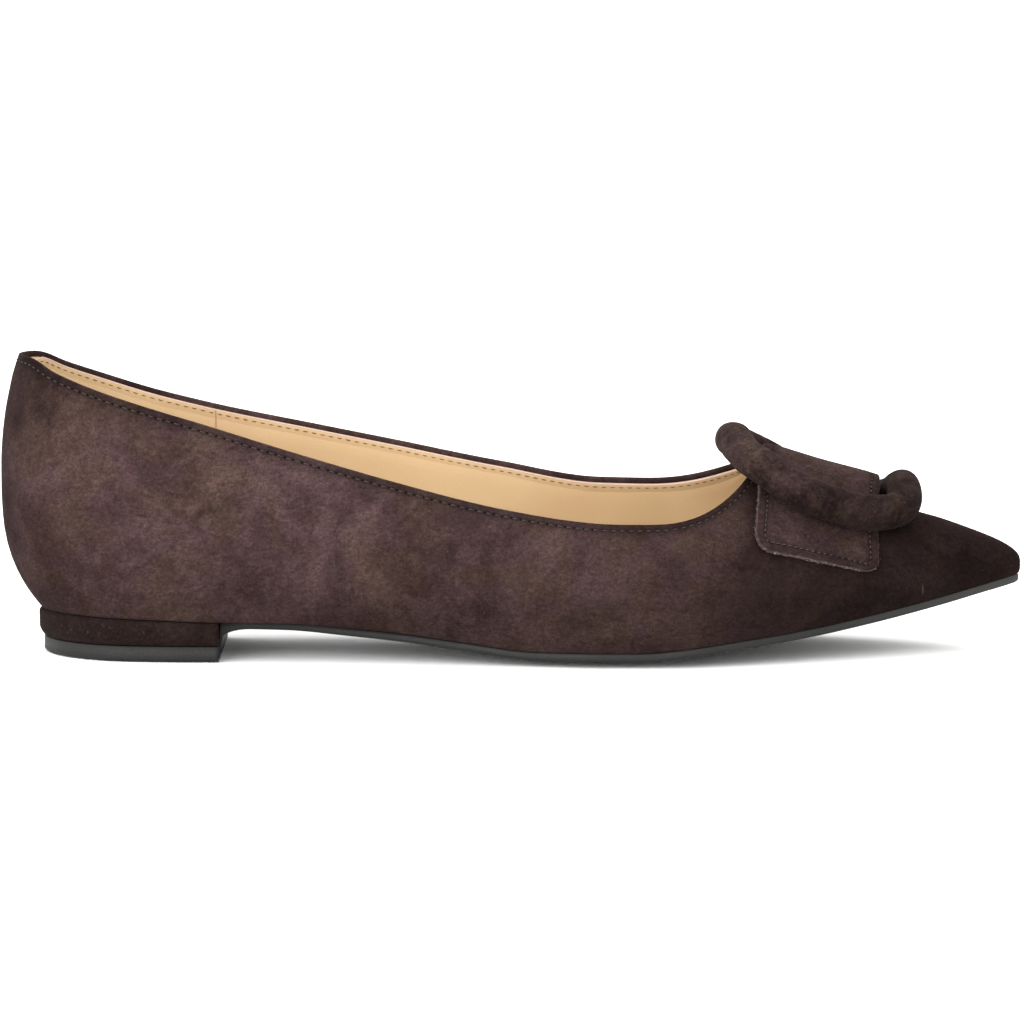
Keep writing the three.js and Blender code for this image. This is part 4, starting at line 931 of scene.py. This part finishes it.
to_edge = add_node(tree, "SeparateXYZ", None, Vector=line.outputs[0]).outputs[1]
ragged = grey_noise(tree, add_node(tree, "TexCoord").outputs["Object"], 1500, 2, 0.6)
worn = span(tree, math_node(tree, "ADD", to_edge, math_node(tree, "MULTIPLY", ragged, 0.8)), 0.42, 0.62, 1, 0)
plain = shader.inputs["Base Color"].links[0].from_socket
tree.links.new(blend_colours(tree, math_node(tree, "MULTIPLY", worn, 0.5), plain, (0.075, 0.052, 0.052, 1)), shader.inputs["Base Color"])
strap = mesh_piece("strap_suede", loops, strap_faces, strap_suede, np.stack([run_loop, edge_loop], -1))
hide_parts("buckle_strap")

# Stitched rows of the strap, and the fuzz of its raw edges
pink_thread = thread_material("strap_thread", (0.034, 0.021, 0.0215))
inset = STRAP_STITCH[0]
end_rows = [k for k in range(len(across_rows)) if from_end[k] > inset]
for side in (OUTER, INNER):
    rows_here = [k for k in end_rows if across_rows[k] * side > 0.02]
    rows_here = rows_here if side > 0 else rows_here[::-1]
    spots, ups = [], []
    for k in rows_here:
        spots.append((rear[k] + inset, across_rows[k]))
    last_rear, last_front = rear[rows_here[-1]] + inset, front[rows_here[-1]] - inset
    last_across = across_rows[rows_here[-1]]
    for share in np.linspace(0, 1, 30)[1:-1]:
        spots.append((last_rear + (last_front - last_rear) * share, last_across))
    for k in rows_here[::-1]:
        spots.append((front[k] - inset, across_rows[k]))
    spots = np.array(spots)
    stitched = strap_spot(spots[:, 0], spots[:, 1], np.full(len(spots), STRAP - 0.1))
    threads, thread_faces = thread_run(stitched, unit(stitched - strap_spot(spots[:, 0], spots[:, 1], np.zeros(len(spots)))),
                                       STRAP_STITCH[1], 0.66, 0.13, 0.07)
    mesh_piece(f"strap_stitches_{'outer' if side < 0 else 'inner'}", threads, thread_faces, pink_thread)

fuzz_material = thread_material("raw_edge_fuzz", (0.26, 0.2, 0.2))
hair_points, hair_faces = [], []
for k in range(len(across_rows) - 1):
    if abs(across_rows[k]) < 0.45:
        continue
    for edge in (0, -1):
        a, b = layer_seam[k, edge], layer_seam[k + 1, edge]
        count = max(2, int(np.linalg.norm(b - a) * 5))
        outward = unit(over[k, edge] - over[k, 3 if edge == 0 else -4])
        for _ in range(count):
            root = a + (b - a) * random.random() + surface_normal[k, edge] * random.uniform(-0.6, 0.6)
            tip = root + outward * random.uniform(0.15, 0.6) + np.array([random.uniform(-0.3, 0.3) for _ in range(3)])
            wide = unit(np.array([random.uniform(-1, 1) for _ in range(3)])) * 0.035
            start = len(hair_points)
            hair_points += [root - wide, root + wide, tip]
            hair_faces.append((start, start + 1, start + 2))
for column in (0, len(across_rows) - 1):
    for _ in range(420):
        j = random.randrange(len(shares) - 1)
        a, b = layer_seam[column, j], layer_seam[column, j + 1]
        inward = layer_seam[1 if column == 0 else -2, j]
        root = a + (b - a) * random.random() + surface_normal[column, j] * random.uniform(-0.6, 0.6)
        tip = root + unit(a - inward) * random.uniform(0.15, 0.6) + np.array([random.uniform(-0.3, 0.3) for _ in range(3)])
        wide = unit(np.array([random.uniform(-1, 1) for _ in range(3)])) * 0.035
        start = len(hair_points)
        hair_points += [root - wide, root + wide, tip]
        hair_faces.append((start, start + 1, start + 2))
mesh_piece("strap_fuzz", np.array(hair_points), hair_faces, fuzz_material)

# Buckle ring: a stiff oval core wrapped in padding and covered in suede, whose seam lies underneath
RING_TURN = math.radians(4.5)
RING_HEIGHTS = np.array([
    42.0, 41.3, 40.0, 38.8, 37.9, 37.1, 36.9, 37.3, 38.4, 39.9, 41.7, 43.5, 45.5, 47.6, 49.9, 51.0, 52.2, 53.4, 54.1,
    54.4, 54.5, 54.2, 53.5, 52.5, 51.3, 50.3, 47.8, 45.6, 43.6, 41.9, 40.5, 39.4, 38.5, 37.9, 37.7, 38.0, 38.8, 40.0,
    41.4, 42.0])
ring_ridge = float(ridge_at(place_of(np.array(ring_middle))))
turns = np.arange(200) / 200 * 2 * math.pi
waves = np.fft.rfft(RING_HEIGHTS)
waves[11:] = 0
heights = sum((2 if 0 < k else 1) * (waves[k] * np.exp(1j * k * turns)).real for k in range(11)) / len(RING_HEIGHTS)
bulge = (abs(np.cos(turns)) ** RING_SQUARENESS + abs(np.sin(turns)) ** RING_SQUARENESS) ** (-1 / RING_SQUARENESS)
forward, sideways = np.cos(turns) * bulge * RING_LENGTH / 2, np.sin(turns) * bulge * RING_WIDTH / 2
path = np.stack([ring_middle + forward * math.cos(RING_TURN) - sideways * math.sin(RING_TURN),
                 ring_ridge + forward * math.sin(RING_TURN) + sideways * math.cos(RING_TURN), heights], -1)
tangents = unit(np.roll(path, -1, 0) - np.roll(path, 1, 0))
outward = unit(np.cross(tangents, np.array([0, 0, 1.0])))
upward = np.cross(outward, tangents)
angles = np.arange(36) / 36 * 2 * math.pi
corner = np.clip(abs(np.cos(turns) * np.sin(turns)) * 2, 0, 1) ** 2
inward_side = np.clip(-np.cos(angles), 0, 1)
dents = (0.1 * np.sin(turns[:, None] * 7 + angles[None] * 2) + 0.08 * np.sin(turns[:, None] * 13 - angles[None] * 3)
         + 0.14 * corner[:, None] * inward_side[None] * np.sin(turns[:, None] * 60))
radius = TUBE / 2 + dents - 0.12
seam = np.exp(-((angles[None] - 4.1) / 0.1) ** 2)
radius = radius - 0.25 * seam
tube = (path[:, None] + outward[:, None] * (np.cos(angles)[None] * radius)[..., None]
        + upward[:, None] * (np.sin(angles)[None] * radius)[..., None])
tube_points = np.concatenate([tube, tube[:, :1]], 1)
# The ring's suede is a darker copy of the upper's, with painted light and shade: brighter on top and towards the rear,
# darker low down and towards the front
ring_suede = suede("ring_suede", (0.0085, 0.0049, 0.0046), (0.027, 0.0167, 0.0146), 0.014, 1,
                   ahead=[(190, 1.3), (205, 1), (235, 0.9)], upward=[(33, 0.55), (42, 0.85), (56, 1.3)])
ring = mesh_piece("ring_suede", tube_points, grid_faces(37, 200, closed=True), ring_suede)
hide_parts("buckle_ring")

# Floor: plain and pale, under the shoe and far behind it
floor_mesh = bpy.data.meshes.new("floor")
floor_mesh.from_pydata([(-30, -6, -0.0002), (30, -6, -0.0002), (30, 60, -0.0002), (-30, 60, -0.0002)], [], [(0, 1, 2, 3)])
floor = bpy.data.objects.new("floor", floor_mesh)
bpy.context.scene.collection.objects.link(floor)
floor_paint = bpy.data.materials.new("pale_floor")
floor_paint.use_nodes = True
floor_paint.node_tree.nodes["Principled BSDF"].inputs["Base Color"].default_value = (0.95, 0.95, 0.95, 1)
floor_paint.node_tree.nodes["Principled BSDF"].inputs["Roughness"].default_value = 0.9
floor_paint.node_tree.nodes["Principled BSDF"].inputs["Specular IOR Level"].default_value = 0.0
floor_mesh.materials.append(floor_paint)

# Light: a white room, brighter in front on the heel's side and duller overhead, and a soft lamp there
world = bpy.data.worlds.new("white_room")
bpy.context.scene.world = world
world.use_nodes = True
tree = world.node_tree
background = tree.nodes["Background"]
direction = add_node(tree, "TexCoord").outputs["Generated"]
key_way = unit(np.array([-0.5, -0.84, 0.2]))
toward = add_node(tree, "VectorMath", {"operation": "DOT_PRODUCT"}, i0=direction, i1=tuple(key_way)).outputs["Value"]
overhead = add_node(tree, "SeparateXYZ", None, Vector=direction).outputs[2]
brightness = math_node(tree, "SUBTRACT", span(tree, toward, -1, 1, 0.9, 3.4), span(tree, overhead, 0.3, 1, 0, 0.9))
tree.links.new(brightness, background.inputs["Strength"])
background.inputs["Color"].default_value = (1, 0.995, 0.985, 1)


def soft_lamp(name, where, size, watts):
    lamp = bpy.data.lights.new(name, "AREA")
    lamp.shape = "RECTANGLE"
    lamp.size, lamp.size_y = size
    lamp.energy = watts
    holder = bpy.data.objects.new(name, lamp)
    holder.location = where
    bpy.context.scene.collection.objects.link(holder)
    aim = -np.array(where) + np.array([0, 0, 0.04])
    holder.rotation_mode = "QUATERNION"
    from mathutils import Vector
    holder.rotation_quaternion = Vector(aim).to_track_quat("-Z", "Y")
    return holder


soft_lamp("front_lamp", (-0.9, -1.5, 0.5), (1.2, 0.8), 18)
soft_lamp("top_lamp", (0.0, 0.3, 1.6), (1.4, 1.0), 10)

# Camera: level with the shoe's outer side, looking a little down on it
camera_data = bpy.data.cameras.new("camera")
camera_data.sensor_width = 36
camera_data.lens = 36 * 1.48 / (1024 * 0.00026)
camera_data.clip_end = 200
camera = bpy.data.objects.new("camera", camera_data)
bpy.context.scene.collection.objects.link(camera)
elevation = math.radians(6.5)
aim_at = np.array([0.00025, 0.00097, 0.0359])
camera.location = aim_at + 1.48 * np.array([0, -math.cos(elevation), math.sin(elevation)])
camera.rotation_euler = (math.pi / 2 - elevation, 0, 0)
bpy.context.scene.camera = camera
